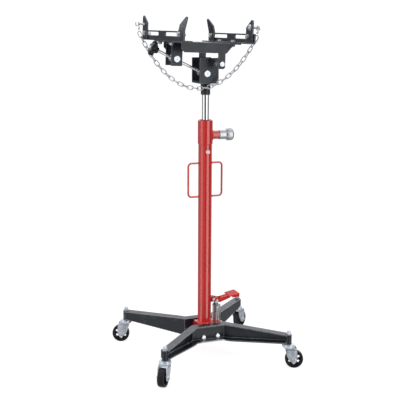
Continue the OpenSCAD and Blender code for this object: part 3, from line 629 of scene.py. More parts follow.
# painted highlight: the pale bluish edge tint stands for light caught on the sheet edges
BLACK = paint("black_powder_coat", base=(0.019, 0.023, 0.032), light=(0.026, 0.031, 0.042),
              dark=(0.012, 0.015, 0.022), rough=0.36, coat=0.12, worn=0.55, peel=0.10,
              spec=0.38, edge_radius=0.0036, edge_highlight_colour=(0.34, 0.38, 0.44),
              edge_highlight_amount=0.50)
ZINC = bare_metal("zinc_plate", base=(0.70, 0.77, 0.88), tint=(0.86, 0.91, 0.98),
                  rough=0.27, brush=(1, 1, 9), brush_amount=0.10, metallic=0.5, dirt=0.15)
BRIGHT = bare_metal("zinc_bright", base=(0.88, 0.90, 0.93), tint=(0.95, 0.96, 0.98),
                    rough=0.30, vary=0.08, grain=0.05, metallic=0.75)
CHAIN = bare_metal("galvanised_chain", base=(0.60, 0.62, 0.65), tint=(0.74, 0.75, 0.78),
                   rough=0.24, vary=0.12, grain=0.10, metallic=0.85)
CHROME = bare_metal("hard_chrome", base=(0.86, 0.87, 0.89), tint=(0.90, 0.91, 0.93),
                    rough=0.055, vary=0.03, brush=(1, 1, 60), brush_amount=0.02,
                    grain=0.0, dirt=0.04)
STEEL = bare_metal("machined_steel", base=(0.60, 0.61, 0.62), tint=(0.70, 0.70, 0.71),
                   rough=0.27, brush=(1, 1, 30), brush_amount=0.1)
SATIN = bare_metal("satin_nickel", base=(0.44, 0.45, 0.47), tint=(0.52, 0.53, 0.55),
                   rough=0.20, vary=0.06, brush=(40, 1, 1), brush_amount=0.08)
RUBBER = plain("seal_rubber", base=(0.018, 0.018, 0.018), other=(0.028, 0.028, 0.028),
               rough=0.62)
PLASTIC = plain("black_plastic", base=(0.008, 0.008, 0.010), other=(0.013, 0.013, 0.016),
                rough=0.30, dust=0.02, spec=0.3)
TREAD = plain("wheel_tread", base=(0.010, 0.011, 0.014), other=(0.016, 0.017, 0.021),
              rough=0.30, dust=0.04, grain=0.10, spec=0.25)
WHITE = plain("white_plug", base=(0.83, 0.81, 0.76), other=(0.90, 0.88, 0.84),
              rough=0.4, grain=0.05)
BRONZE = bare_metal("bronze_washer", base=(0.55, 0.36, 0.16), tint=(0.65, 0.45, 0.22),
                    rough=0.3)
HUB_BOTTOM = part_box("power_block")[0][2]  # metres
# painted highlight: the base coat's pale edges, and a bright band along the front of the
# hub's lower lip
BASE_COAT = paint("black_base_coat", base=(0.011, 0.014, 0.020), light=(0.016, 0.020, 0.028),
                  dark=(0.007, 0.009, 0.014), rough=0.40, coat=0.55, worn=1.0, peel=0.07,
                  spec=0.18, coat_rough=0.22, coat_ior=1.38, metal=(0.72, 0.73, 0.75),
                  edge_highlight_colour=(0.52, 0.55, 0.60), edge_highlight_amount=0.8, edge_radius=0.0042,
                  band=dict(bottom=HUB_BOTTOM - 0.001, top=HUB_BOTTOM + 0.0040,
                            half_width=0.050, front_y=-0.040, centre_x=0.009))
RED_ARM = paint("red_pedal_coat", **RED_SHADES, rough=0.40, coat=0.1, worn=0.5, peel=0.05,
                spec=0.2, coat_rough=0.2, edge_highlight_amount=0.06, scratch=0.2)
DULL = bare_metal("dull_steel", base=(0.30, 0.30, 0.31), tint=(0.42, 0.42, 0.43),
                  rough=0.34, vary=0.12, brush=(1, 1, 30), brush_amount=0.1)
SLOT_MATERIAL = {
    "black_powder_coat": BLACK, "red_powder_coat": RED, "zinc_plate": ZINC,
    "galvanised_chain": CHAIN, "hard_chrome": CHROME, "machined_steel": STEEL,
    "seal_rubber": RUBBER, "bronze_washer": BRONZE, "white_plug": WHITE,
    "black_plastic": PLASTIC,
}

# ------------------------------------------------------------------ CAD nodes
# bevel width in mm and segments; all other nodes take PLAIN_BEVEL
BEVELS = {
    "base_front_half": (1.8, 3), "base_rear_half": (1.8, 3), "power_block": (1.2, 2),
    "saddle_bracket": (0.9, 2), "tilt_beam": (0.9, 2), "screw_bracket": (0.9, 2),
    "rail_left": (0.8, 2), "rail_right": (0.8, 2), "reservoir_tube": (0.5, 2),
    "top_collar": (0.9, 2), "pedal_lever": (0.9, 2), "pedal_bracket": (0.8, 2),
    "finger_rear_left": (0.8, 2), "finger_front_left": (0.8, 2),
    "finger_rear_right": (0.8, 2), "finger_front_right": (0.8, 2),
}
PLAIN_BEVEL = (0.4, 2)
NODE_MATERIAL = {
    "base_front_half": BASE_COAT, "base_rear_half": BASE_COAT, "pump_plunger": DULL,
    "spring_cap": DULL, "fulcrum_pin": DULL, "pedal_lever": RED_ARM, "stop_rod": STEEL,
}


def dress(node):
    """Give a CAD node rounded edges, smooth shading and its material."""
    obj = NODES[node]
    mesh = obj.data
    mesh.materials.clear()
    mesh.materials.append(NODE_MATERIAL.get(node) or SLOT_MATERIAL[NODE_SLOT[node]])
    mesh.polygons.foreach_set("material_index", [0] * len(mesh.polygons))
    for name in ("custom_normal", "sharp_edge", "sharp_face"):
        if name in mesh.attributes:
            mesh.attributes.remove(mesh.attributes[name])
    mesh.polygons.foreach_set("use_smooth", [True] * len(mesh.polygons))
    weld = obj.modifiers.new("weld", "WELD")
    weld.merge_threshold = 2e-5
    planar = obj.modifiers.new("plane", "DECIMATE")
    planar.decimate_type = "DISSOLVE"
    planar.angle_limit = radians(0.6)
    width, segments = BEVELS.get(node, PLAIN_BEVEL)
    bevel = obj.modifiers.new("bevel", "BEVEL")
    bevel.width = width * MM
    bevel.segments = segments
    bevel.limit_method = "ANGLE"
    bevel.angle_limit = radians(28)
    bevel.harden_normals = False
    normals = obj.modifiers.new("normals", "WEIGHTED_NORMAL")
    normals.keep_sharp = True
    normals.weight = 80


for node_name in NODES:
    dress(node_name)

# ------------------------------------------------------------------ casters
# Drawn with the swivel on local Z and the wheel trailing towards local +X.
FORK_GAP = 17.0  # half the space between the fork legs
FORK_WALL = 3
FORK_TOP = SOCKET_LOW[2] - 5.1
WHEEL_R, WHEEL_HALF, TRAIL = 38.0, 14.0, 24.0


def wheel():
    """Slots: 0 rim and web, 1 tread, 2 bush."""
    part = Part()
    half = WHEEL_HALF
    axle = toward_y(TRAIL, 0, WHEEL_R, -1)
    tread = fillet(
        [(29.4, -half + 0.6), (31.2, -half), (35.6, -half), (37.2, -half + 2.2),
         (WHEEL_R, -half + 7), (WHEEL_R, half - 7), (37.2, half - 2.2), (35.6, half),
         (31.2, half), (29.4, half - 0.6), (29.0, half - 5), (29.0, -half + 5)],
        [0.4, 0.8, 2.0, 2.0, 5.0, 5.0, 2.0, 2.0, 0.8, 0.4, 1, 1], 4)
    part.add(lathe(tread, 96), axle, 1)
    rim = fillet([(26.6, -half + 3.2), (29.2, -half + 1.8), (29.2, half - 1.8),
                  (26.6, half - 3.2)], [1.2, 0.3, 0.3, 1.2], 3)
    part.add(lathe(rim, 96), axle)
    centres = [(20 * cos(radians(a)), 20 * sin(radians(a))) for a in range(30, 390, 60)]
    holes = [circle(x, y, 6.1, 28) for x, y in centres]
    part.add(plate(circle(0, 0, 27.6, 96), holes, 8, 0.9), axle)
    for x, y in centres:  # raised lip round each hole
        for z in (-4.0, 4.0):
            lip = [(a, b, z) for a, b in circle(x, y, 6.9, 28)]
            part.add(sweep(lip, 0.8, 6, True), axle)
    hub = fillet([(5.9, -half - 2), (9.6, -half - 2), (10.6, -half + 2), (12.4, -4.2),
                  (12.4, 4.2), (10.6, half - 2), (9.6, half + 2), (5.9, half + 2)],
                 [0, 0.8, 1, 1.5, 1.5, 1, 0.8, 0], 3)
    part.add(lathe(hub, 64), axle)
    part.add(ring(4.06, 5.95, -half - 2.5, half + 2.5, 0.2, 2, 48), axle, 2)
    return part


def fork_bridge():
    """The arch over the wheel, with rolled shoulders, drawn in Y, Z and run along X."""
    gap, top, outer = FORK_GAP, FORK_TOP, FORK_GAP + FORK_WALL
    section = fillet([(-outer, top - 20), (-outer, top - 6.8), (outer, top - 6.8),
                      (outer, top - 20)], [0, 6, 6, 0], 6, False)
    section += fillet([(gap, top - 20), (gap, top - 14.6), (-gap, top - 14.6),
                       (-gap, top - 20)], [0, 2, 2, 0], 6, False)
    count = len(section)
    verts = [(x, y, z) for x in (-12.0, 24.6) for y, z in section]
    faces = [(j, (j + 1) % count, count + (j + 1) % count, count + j) for j in range(count)]
    for j in range(count // 2 - 1):  # the two ends
        end = (j, j + 1, count - 2 - j, count - 1 - j)
        faces.append(end[::-1])
        faces.append(tuple(count + i for i in end))
    return np.array(verts), faces


def fork():
    """Slots: 0 pressed steel, 1 axle and its fasteners."""
    part = Part()
    top, wheel_z, outer = FORK_TOP, WHEEL_R, FORK_GAP + FORK_WALL
    leg = fillet(
        [(-12, top - 16), (-12, top - 7.2), (27, top - 7.2), (34, top - 14),
         (37, wheel_z + 10), (33, wheel_z - 8), (28, wheel_z - 13), (18, wheel_z - 13),
         (4, wheel_z - 3), (-5, wheel_z + 14), (-12, top - 22)],
        [1, 1, 4, 7, 14, 9, 7, 7, 14, 14, 4], 6)
    rib = fillet([(-3, top - 18), (29, top - 18), (31, wheel_z + 16), (24, wheel_z + 9),
                  (8, wheel_z + 9), (1, wheel_z + 18)], 4, 4)
    for side in (-1, 1):
        hole = circle(TRAIL, wheel_z, 4.2, 24)
        part.add(plate(leg, [hole], FORK_WALL, 0.7),
                 toward_y(0, side * (FORK_GAP + FORK_WALL / 2), 0, -1))
        part.add(plate(rib, [], 1.2, 0.55), toward_y(0, side * (FORK_GAP + 3.1), 0, -1))
    part.add(fork_bridge())
    # ball race: a pressed cup and a ring
    race = fillet([(0, top - 11.5), (20, top - 11.5), (21.5, top - 7.2), (25.6, top - 5.6),
                   (25.8, top - 2.6), (22.5, top), (0, top)],
                  [0, 1.5, 1.5, 1.6, 2.2, 2.4, 0], 4)
    part.add(lathe(race, 72))
    part.add(ring(22.2, 25.9, top - 3.0, top - 4.6, 0.6, 3, 72))
    lug = fillet([(-27, -10), (-27, 10), (-8, 12), (-8, -12)], [4, 4, 1, 1], 5)
    part.add(plate(lug, [circle(-22.5, 0, 2.6, 20)], 3, 0.6), up(top - 1.6))
    # rivet under the bridge
    rivet = fillet([(0, top - 18), (5.6, top - 18), (7, top - 16.6), (7, top - 14),
                    (0, top - 14)], [0, 1.2, 1, 0.3, 0], 3)
    part.add(lathe(rivet, 40))
    # axle: bolt head on the -Y side, nut and thread on the +Y side
    for side, nut in ((-1, hex_nut(13, 5)), (1, hex_nut(13, 5.5, 3.6))):
        face = toward_y(TRAIL, side * outer, wheel_z, side)
        part.add(lathe([(4, 0), (8.2, 0), (8.6, 0.4), (8.2, 1.3), (4, 1.3)], 40), face, 1)
        part.add(nut, face @ up(1.2), 1)
    part.add(thread(3.9, 1.25, 0.5, 8.6, 24), face @ up(-1), 1)
    part.add(rod(3.95, -outer - 0.5, outer, 32), toward_y(TRAIL, 0, wheel_z, 1), 1)
    return part


wheel_part, fork_part = wheel(), fork()
for corner, (sx, sy, heading) in CASTERS.items():
    place = at(sx * CASTER_REACH, sy * CASTER_REACH, 0) @ up(0, radians(heading))
    wheel_part.moved(place).obj("wheel_look_" + corner, "wheel_" + corner, "black_plastic",
                                [PLASTIC, TREAD, STEEL], "caster_wheel_" + corner)
    fork_part.moved(place).obj("fork_look_" + corner, "caster_" + corner, "zinc_plate",
                               [ZINC, BRIGHT], "caster_fork_" + corner)

# Acorn nuts on top of the sockets
dome = [(8.4, 7.9)]
dome += [(8.4 * cos(a), 11.0 + 8.0 * sin(a)) for a in np.linspace(0, pi / 2, 14)]
dome += [(0, 15), (6.02, 13.6), (6.02, 7.9)]
dome = [(max(r, 0.001), z) for r, z in dome]
part = Part()
for sx, sy, heading in CASTERS.values():
    place = at(sx * CASTER_REACH, sy * CASTER_REACH, SOCKET_TOP)
    part.add(hex_nut(18, 8.5, 6.02), place @ up(0, radians(17)))
    part.add(lathe(dome, 48), place)
part.obj("acorn_nut_look", "base", "zinc_plate", ZINC, "acorn_nuts", sharp=28)

# ------------------------------------------------------------------ base hardware and welds
BASE_BOLT_Z = box_mm("base_bolts")[0][2] + 10
part = Part()
for side in (-1, 1):
    for x in (-23, 41):
        face = toward_y(x, side * 50, BASE_BOLT_Z, side)
        part.add(washer(5.1, 9.9, 2.0, 0.5, 48), face)
        part.add(hex_nut(17, 6.4), face @ up(1.9, 0.3 + x))
        part.add(rod(5, 0, -26, 32), face)
part.obj("base_bolt_look", "base", "zinc_plate", BRIGHT, "base_bolts", sharp=28)

# Red welds: both ends of the column, the valve boss, the handles and the pedal bracket
part = Part()
part.add(bead(level_ring(COLUMN_R + 1.2, BLOCK_TOP + 1.6), 3.0, 3, lump=4.2, closed=True))
part.add(bead(level_ring(COLUMN_R + 0.4, COLUMN_TOP - 0.4), 1.9, 4, lump=3.4, closed=True))
# the line where the boss meets an upright cylinder of radius 31.3
boss_weld = [(sqrt(31.3 ** 2 - y * y), y, z) for y, z in circle(0, VALVE_Z, 18.1, 72)]
part.add(bead(boss_weld, 3.1, 5, lump=3.8, closed=True))
HANDLES = ("carry_handle_left", "carry_handle_right")
HANDLE_R = 4.0
for node_name in HANDLES:
    low, high = box_mm(node_name)
    side = -1 if low[0] < -40 else 1
    for z in (low[2] + HANDLE_R, high[2] - HANDLE_R):
        weld = [(side * (COLUMN_R + 0.6), a, b) for a, b in circle(0, z, 4.6, 24)]
        part.add(bead(weld, 1.7, 7, lump=2.6, closed=True))
for side in (-1, 1):
    weld = [(sqrt(COLUMN_R ** 2 - 81) + 0.6, side * 9.4, z) for z in np.linspace(233, 253, 9)]
    part.add(bead(weld, 1.8, 9, lump=2.6))
part.obj("red_weld_beads", "base", "red_powder_coat", RED, sharp=60)

# An arc of weld on the column side of each socket
part = Part()
for sx, sy, heading in CASTERS.values():
    x, y = sx * CASTER_REACH, sy * CASTER_REACH
    inward = atan2(-sy, -sx)
    arc = [(x + 13.0 * cos(a), y + 13.0 * sin(a), SOCKET_TOP - 0.2)
           for a in np.linspace(inward - 1.3, inward + 1.3, 30)]
    part.add(bead(arc, 1.7, int(CASTER_REACH) + sx * 3 + sy, lump=3.2))
part.obj("socket_weld_beads", "base", "black_powder_coat", BLACK, sharp=60)

# Plug screws on the block
part = Part()
for x in (-25, 64):
    place = at(x, -31, BLOCK_TOP - 0.2)
    part.add(ring(2.6, 6.0, 0, 3.2, [0, 0, 1.0, 0.3], 3, 36), place)
    part.add(rod(2.8, 0, 1.2, 6), place)
part.obj("block_plugs", "base", "red_powder_coat", RED)

# ------------------------------------------------------------------ column
# Carry handles: a bar bent out and back, from x = 26 to x = 75
low, high = box_mm("carry_handle_right")
foot, head = low[2] + HANDLE_R, high[2] - HANDLE_R
bend = fillet([(26.0, foot), (75.0, foot), (75.0, head), (26.0, head)], 14.0, 11, False)
for side, node_name in zip((-1, 1), HANDLES):
    path, distances = measure([(side * x, 0, z) for x, z in bend])
    path = resample(path, distances, np.linspace(0, distances[-1], 90))
    part = Part().add(sweep(path, HANDLE_R, 20))
    part.obj(node_name + "_look", "base", "red_powder_coat", RED, node_name, sharp=60)

# Return spring: tight end coils, open middle
cap_low, cap_high = box_mm("spring_cap")
SPRING_X = (cap_low[0] + cap_high[0]) / 2
SPRING_TURNS = 10.5
END_RISE = 3.6  # climb of each end coil
spring_foot, spring_head = BLOCK_TOP + 2.1, cap_low[2] - 1.8
open_rise = spring_head - spring_foot - 2 * END_RISE
coil = []
for i in range(int(SPRING_TURNS * 36) + 1):
    turn = i / 36
    middle = min(max((turn - 1.0) / (SPRING_TURNS - 2.0), 0), 1)
    ends = min(turn, 1) + max(0, turn - (SPRING_TURNS - 1))
    coil.append((SPRING_X + 13.2 * cos(2 * pi * turn), 13.2 * sin(2 * pi * turn),
                 spring_foot + ends * END_RISE + middle * open_rise))
spring = Part().add(sweep(coil, 1.7, 12)).obj(
    "return_spring_look", "base", "machined_steel", STEEL, "return_spring", sharp=60)
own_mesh(spring)

# Release knob: sleeve, neck and knurled grip, as (radius, x)
knob_start, knob_end = KNOB_LOW[0], KNOB_HIGH[0]
profile = fillet(
    [(4.7, knob_start + 3), (9.2, knob_start + 2.5), (9.2, knob_start), (18.4, knob_start),
     (19.6, knob_start + 1.4), (19.6, 86), (20.4, 92), (25.3, 97), (25.5, 100), (25.5, 115),
     (23.6, knob_end), (19, knob_end), (18, 114), (4.7, 113.4)],
    [0, 0, 0.3, 0.8, 1, 4, 5, 2.5, 1, 1.5, 1.2, 1, 1.5, 0], 5)
fine_profile = []  # the grip is split finely enough to carry the knurling
for (r0, x0), (r1, x1) in zip(profile, profile[1:] + profile[:1]):
    pieces = max(1, int(abs(x1 - x0) / 1.2)) if r0 > 24 and r1 > 24 else 1
    for j in range(pieces):
        fine_profile.append((r0 + (r1 - r0) * j / pieces, x0 + (x1 - x0) * j / pieces))


def knurl(angle, r, z):
    """Crossed grooves on the grip, fading at both ends."""
    if r < 24.4 or z < 97:
        return r
    around = angle * 34 / (2 * pi)  # 34 diamonds round the grip
    nearest = min(abs(((around + lean * z) % 1) * 2 - 1) for lean in (0.16, -0.16))
    fade = min(1.0, max(0.0, min(z - 98, 117 - z) / 1.5))
    return r - 0.55 * fade * (1 - nearest * 1.6 if nearest < 0.6 else 0.0)


part = Part()
face = toward_x(0, 0, VALVE_Z, 1)
part.add(lathe(fine_profile, 272, knurl), face)
part.add(ring(16.5, 19.75, 70, 71.2, 0.3, 2, 96), face)
part.obj("release_knob_look", "release_valve", "machined_steel", SATIN, "release_knob",
         sharp=34)

# ------------------------------------------------------------------ saddle
# Tilt screw: shank, thread and two collars; local Z runs inwards from the outer end
SCREW = aimed(SCREW_OUTER, SCREW_INNER - SCREW_OUTER, (0, 1, 0))
part = Part()
part.add(thread(6.0, 3.0, 0.75, 100, 32, 8), SCREW @ up(80))
shank = fillet([(0, -104), (5.2, -104), (5.95, -103), (5.95, 80.5), (0, 80.5)],
               [0, 0.3, 0.3, 0.2, 0], 2)
part.add(lathe(shank, 40), SCREW)
for start, end in ((-18.5, -12.8), (12.8, 18.5)):
    part.add(ring(5.5, 9.5, start, end, 0.7, 3, 40), SCREW)
part.obj("tilt_screw_look", "screw", "zinc_plate", BRIGHT, "tilt_screw", sharp=40)

# Tilt knob: six lobes, with a small metal cap
knob = fillet(
    [(0, 0), (17, 0), (23, 1.5), (26.5, 6), (26.5, 18), (23, 22.6), (17, 24), (13.2, 24.6),
     (12.6, 34.2), (11.6, 35), (6, 35), (6, 8), (0, 8)],
    [0, 2, 4, 5, 5, 4, 2, 2, 0.6, 0.5, 0, 0, 0], 5)


def lobes(angle, r, z):
    amount = min(1.0, max(0.0, (r - 12.8) / 10.0)) if z < 25 else 0
    return r + amount * 3.4 * (cos(6 * angle) * 0.9 + 0.1 * cos(12 * angle))


part = Part()
part.add(lathe(knob, 144, lobes), SCREW @ up(-110))
cap = fillet([(0, -111.2), (5.5, -111.2), (6.4, -110.4), (6.4, -109), (0, -109)],
             [0, 0.6, 0.5, 0, 0], 3)
part.add(lathe(cap, 36), SCREW, 1)
part.obj("tilt_knob_look", "screw", "black_plastic", [PLASTIC, ZINC], "tilt_knob", sharp=40)


def finger_bolts(corner, body, x, y, chain_y):
    """One finger's bolt and, where chain_y is given, the long bolt for a chain hook."""
    def face(px, py, pz, side):
        return TILT @ toward_x(px, py, pz, side)

    part = Part()
    left, right, z = x - STACK_LEFT, x + STACK_RIGHT, BEAM_Z + 27
    head = face(left, y, z, -1)
    part.add(washer(5, 10.2, 1.6, 0.4, 40), head)
    part.add(hex_nut(17, 6.2), head @ up(1.4, y))
    part.add(thread(5.95, 1.75, 0.7, 27), face(left - 0.5, y, z, 1))
    tail = face(right, y, z, 1)
    part.add(washer(6.1, 12, 2, 0.5, 48), tail)
    part.add(hex_nut(19, 9, 6.0, both=True), tail @ up(2.1, 0.4 + y))
    z = CHAIN_BOLT_Z
    if chain_y is not None and x < 0:
        part.add(hex_nut(16, 6), face(x - 2.6, chain_y, z, 1) @ up(0, 0.2))
        part.add(thread(5, 1.5, 0.6, 34), face(left - 32, chain_y, z, 1))
        part.add(hex_nut(16, 7, 4.9, both=True), face(left - 37, chain_y, z, 1))
    elif chain_y is not None:
        head = face(left, chain_y, z, -1)
        part.add(washer(4, 12.5, 1.6, 0.4, 40), head)
        part.add(hex_nut(16, 6), head @ up(1.2))
        part.add(thread(5, 1.5, 0.6, 43), face(left - 1, chain_y, z, 1))
        part.add(hex_nut(16, 8, 4.9, both=True), face(x + 29, chain_y, z, 1))
    part.obj("bolts_" + corner, body, "zinc_plate", BRIGHT, "finger_bolts_" + corner,
             sharp=28)


finger_bolts("rear_left", "finger_rl", LEFT_X, 206, CHAIN_LEFT_Y)
finger_bolts("front_left", "finger_fl", LEFT_X, -225, None)
finger_bolts("rear_right", "finger_rr", RIGHT_X, 204, None)
finger_bolts("front_right", "finger_fr", RIGHT_X, -184, CHAIN_RIGHT_Y)

# Bolts down through the rails
part = Part()
for side in (-1, 1):
    for x in (LEFT_X + 15, RIGHT_X - 21):
        head = TILT @ at(x, side * 70, BEAM_Z + 5)
        part.add(washer(5, 9.6, 1.5, 0.4, 40), head)
        part.add(hex_nut(16, 6), head @ up(1.3))
        part.add(thread(4.95, 1.5, 0.6, 22), TILT @ at(x, side * 70, BEAM_Z - 16))
        part.add(hex_nut(16, 8, 4.9, both=True), TILT @ at(x, side * 70, BEAM_Z - 13.5))
part.obj("rail_bolt_look", "saddle_beam", "zinc_plate", BRIGHT, "rail_bolts", sharp=28)

part = Part()
for side in (-1, 1):
    part.add(hex_nut(19, 6.5, 7.0, both=True), toward_y(PIVOT_X, side * 110, PIVOT_Z, side))
part.obj("pivot_nut_look", "saddle_beam", "zinc_plate", BRIGHT, "pivot_nuts", sharp=28)

# ------------------------------------------------------------------ chain and hooks
HOOK_UPPER_R, HOOK_LOWER_R = 8.0, 7.0
HOOK_DROP = HOOK_UPPER_R * 2 + HOOK_LOWER_R + 10
hang_left = tilted(LEFT_X - STACK_LEFT - 24, 0, CHAIN_BOLT_Z)
hang_right = tilted(RIGHT_X + 23, 0, CHAIN_BOLT_Z)
chain_left = np.array([hang_left[0], CHAIN_LEFT_Y, hang_left[2] - HOOK_DROP])
chain_right = np.array([hang_right[0], CHAIN_RIGHT_Y, hang_right[2] - HOOK_DROP])
run_x, run_y = (chain_right - chain_left)[:2]
span = hypot(run_x, run_y)
bearing = atan2(run_y, run_x)

# The chain hangs in a catenary; bisect for the distance of its lowest point from the left
CATENARY = 200.0
near, far = span * 0.3, span * 0.7
for _ in range(40):
    guess = (near + far) / 2
    rise = CATENARY * (cosh((span - guess) / CATENARY) - cosh(guess / CATENARY))
    if rise - (chain_right[2] - chain_left[2]) > 0:
        near = guess
    else:
        far = guess
low_at = (near + far) / 2
low_z = chain_left[2] - CATENARY * (cosh(low_at / CATENARY) - 1)
left_length = CATENARY * sinh(low_at / CATENARY)
right_length = CATENARY * sinh((span - low_at) / CATENARY)
LINKS, LEFT_LINKS = 31, 15
link_pitch = (left_length + right_length) / LINKS


def catenary(length):
    """(distance from the left end, height) at a chain length from the lowest point."""
    return np.array([low_at + CATENARY * asinh(length / CATENARY),
                     low_z + sqrt(CATENARY * CATENARY + length * length) - CATENARY])


def over_floor(distance, z):
    """The vector this far along the chain's plan direction and this high."""
    return np.array([distance * cos(bearing), distance * sin(bearing), z])


def chain_link():
    """An oval loop in local X, Z with a small lump of weld halfway along its +X side."""
    wire, width = 2.1, 19.0
    bend_r = width / 2 - wire
    half = (link_pitch + 0.6) / 2 + wire - bend_r
    path = []
    for z, start in ((half, 0), (-half, pi)):
        path += [(bend_r * cos(a), 0, z + bend_r * sin(a))
                 for a in np.linspace(start, start + pi, 14)]
    path, distances = measure(path, closed=True)
    path = resample(path, distances, np.linspace(0, distances[-1], 60, endpoint=False))
    lump = 0.12 * np.exp(-(path[:, 2] ** 2) / 3.0) * (path[:, 0] > 0)
    return sweep(path, wire * (1 + lump), 10, True)


rng = np.random.RandomState(11)
link = chain_link()
halves = [Part(), Part()]
for i in range(LINKS):
    start = catenary(-left_length + i * link_pitch)
    end = catenary(-left_length + (i + 1) * link_pitch)
    centre = np.array([chain_left[0], chain_left[1], 0]) + over_floor(*((start + end) / 2))
    place = aimed(centre, over_floor(*(end - start)), (-sin(bearing), cos(bearing), 0))
    roll = radians((-6 if i % 2 == 0 else 84) + rng.uniform(-11, 11))
    halves[0 if i < LEFT_LINKS else 1].add(link, place @ up(0, roll))

for half, name, body, end in ((halves[0], "chain_left_half", "finger_rl", chain_left),
                              (halves[1], "chain_right_half", "finger_fr", chain_right)):
    obj = half.obj(name, None, "galvanised_chain", CHAIN, "safety_chain", sharp=60)
    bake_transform(obj)


def s_hook(side, body, hang, y):
    """A bar bent to an S in the YZ plane, hung over its bolt."""
    upper, lower = HOOK_UPPER_R, HOOK_LOWER_R
    path = [(0, upper * cos(a), upper * sin(a))
            for a in np.linspace(radians(180), radians(-90), 30)]
    path += [(0, lower * cos(a), -upper - lower + lower * sin(a))
             for a in np.linspace(radians(90), radians(355), 30)][1:]
    part = Part().add(sweep(path, 2.0, 14), at(hang[0], y, hang[2] - 0.8))
    part.obj(f"hook_{side}_look", body, "galvanised_chain", CHAIN, "chain_hook_" + side,
             sharp=60)


s_hook("left", "finger_rl", hang_left, CHAIN_LEFT_Y)
s_hook("right", "finger_fr", hang_right, CHAIN_RIGHT_Y)

# Welds round the neck and along both sides of the beam
part = Part().add(bead(level_ring(21.2, SADDLE_BASE - 1.0), 2.2, 21, lump=3.4, closed=True))
part.obj("neck_weld", "saddle_swivel", "black_powder_coat", BLACK, sharp=60)
part = Part()
for side in (-1, 1):
    line = [tilted(x, side * 103.4, BEAM_Z - 6.2) for x in np.linspace(-140, 80, 60)]
    part.add(bead(line, 1.8, 31 + side, lump=3.6))
part.obj("beam_weld", "saddle_beam", "black_powder_coat", BLACK, sharp=60)

# ------------------------------------------------------------------ floor
WHITE_RGBA = (1, 1, 1, 1)
mesh = bpy.data.meshes.new("floor")
mesh.from_pydata([(-14, -14, 0), (14, -14, 0), (14, 14, 0), (-14, 14, 0)], [], [(0, 1, 2, 3)])
floor = new_object("floor", mesh)
material = bpy.data.materials.new("floor_pale")
material.use_nodes = True
graph = Graph(material.node_tree)
output = graph.node("OutputMaterial")
matt = graph.node("BsdfPrincipled", {"Base Color": (0.40, 0.40, 0.40, 1), "Roughness": 0.9,
                                     "Specular IOR Level": 0.0})
# seen directly the floor also glows, so that it burns out to white
seen = graph.node("LightPath").outputs["Is Camera Ray"]
glow_strength = 0.80
glow = graph.node("Emission", {0: WHITE_RGBA, 1: graph.times(seen, glow_strength)})
both = graph.node("AddShader", {0: matt.outputs[0], 1: glow.outputs[0]})
graph.put(output, {0: both.outputs[0]})
mesh.materials.append(material)
floor.visible_glossy = False

# ------------------------------------------------------------------ camera
CAM_AZ = radians(-21.329)  # bearing of the camera from the column, 0 at -Y
CAM_DISTANCE, CAM_HEIGHT = 3.7664, 1.4147
CAM_YAW, CAM_PITCH, CAM_ROLL = radians(0.316), radians(11.044), radians(0.258)
lens = bpy.data.cameras.new("camera")
camera = new_object("camera", lens)
SCENE.camera = camera
lens.sensor_width = 36
lens.lens = 81.9729
facing = CAM_AZ + CAM_YAW
ahead = Vector((-sin(facing) * cos(CAM_PITCH), cos(facing) * cos(CAM_PITCH),
                -sin(CAM_PITCH)))
level = ahead.cross(Vector((0, 0, 1))).normalized()
upright = level.cross(ahead)
camera.matrix_world = basis(
    (CAM_DISTANCE * sin(CAM_AZ), -CAM_DISTANCE * cos(CAM_AZ), CAM_HEIGHT),
    level * cos(CAM_ROLL) + upright * sin(CAM_ROLL),
    -level * sin(CAM_ROLL) + upright * cos(CAM_ROLL), -ahead)
lens.clip_start, lens.clip_end = 0.05, 60

# ------------------------------------------------------------------ world
# Reflections see a studio of bright and dark upright bands:
# degrees from the bearing of the camera, brightness
BANDS = [
    (-180, 0.60), (-162, 0.08), (-138, 0.08), (-124, 0.38), (-80, 0.38), (-71, 1.35),
    (-45, 1.35), (-37, 0.34), (-8, 0.30), (0, 0.04), (24, 0.04), (32, 2.0), (62, 2.0),
    (70, 0.24), (86, 0.04), (112, 0.04), (126, 0.42), (150, 0.42), (165, 0.60), (180, 0.60),
]
world = bpy.data.worlds.new("studio")
SCENE.world = world
world.use_nodes = True
graph = Graph(world.node_tree)
output = graph.node("OutputWorld")
direction = graph.node("TexCoord").outputs["Generated"]
x, y, z = graph.node("SeparateXYZ", {0: direction}).outputs
azimuth = graph.math("ARCTAN2", x, graph.math("MULTIPLY", y, -1))
azimuth = graph.math("WRAP", graph.math("SUBTRACT", azimuth, CAM_AZ), pi, -pi)
bands = graph.node("ValToRGB", {0: graph.ramp(azimuth, span=(-pi, pi))})
stops = bands.color_ramp.elements
while len(stops) > 1:
    stops.remove(stops[-1])
for i, (degrees, value) in enumerate(BANDS):
    position = (degrees + 180) / 360
    stop = stops[0] if i == 0 else stops.new(position)
    stop.position = position
    stop.color = (value, value, value * 1.01, 1)
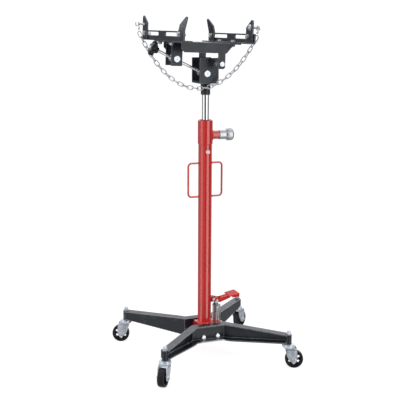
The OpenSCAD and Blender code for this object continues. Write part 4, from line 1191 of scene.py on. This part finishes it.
# a bright ceiling, a bright wall facing the camera above the horizon, and a pale floor
ceiling = graph.ramp(z, span=(0.55, 0.85))
room = graph.mix(ceiling, bands.outputs[0], (0.72, 0.73, 0.75))
opposite = graph.ramp(graph.math("ABSOLUTE", azimuth), span=(radians(95), radians(125)))
above = graph.ramp(z, span=(0.07, 0.16))
room = graph.mix(graph.times(opposite, above), room, (1.25, 1.27, 1.32))
room = graph.mix(graph.ramp(z, span=(-0.45, -0.75)), room, (0.55, 0.55, 0.56))
# the room shows in reflections only; diffuse light and the camera see plain white
rays = graph.node("LightPath").outputs
diffuse_strength, camera_strength = 0.58, 1.05
mirrored = graph.node("Background", {0: room})
diffuse = graph.node("Background", {0: WHITE_RGBA, 1: diffuse_strength})
backdrop = graph.node("Background", {0: WHITE_RGBA, 1: camera_strength})
lighting = graph.node("MixShader", {0: rays["Is Glossy Ray"], 1: diffuse.outputs[0],
                                    2: mirrored.outputs[0]})
everything = graph.node("MixShader", {0: rays["Is Camera Ray"], 1: lighting.outputs[0],
                                      2: backdrop.outputs[0]})
graph.put(output, {0: everything.outputs[0]})


# ------------------------------------------------------------------ lights
def area(name, azimuth, elevation, distance, width, height, power):
    """A soft light aimed at the lift, placed in degrees from the camera's bearing."""
    light = bpy.data.lights.new(name, "AREA")
    light.shape = "RECTANGLE"
    light.size, light.size_y, light.energy = width, height, power
    obj = new_object(name, light)
    a, e = radians(azimuth) + CAM_AZ, radians(elevation)
    aim = Vector((0, 0, 0.75))
    obj.location = aim + Vector((sin(a) * cos(e), -cos(a) * cos(e), sin(e))) * distance
    obj.rotation_euler = (aim - obj.location).to_track_quat("-Z", "Y").to_euler()
    obj.visible_glossy = False


area("key_left", azimuth=-58, elevation=22, distance=3.6, width=1.4, height=2.6, power=34)
area("key_right", azimuth=47, elevation=20, distance=3.6, width=1.2, height=2.6, power=31)
area("top", azimuth=0, elevation=82, distance=3.4, width=2.6, height=2.6, power=16)

SCENE.view_settings.view_transform = "Standard"
SCENE.view_settings.look = "None"
SCENE.view_settings.exposure = 0.0
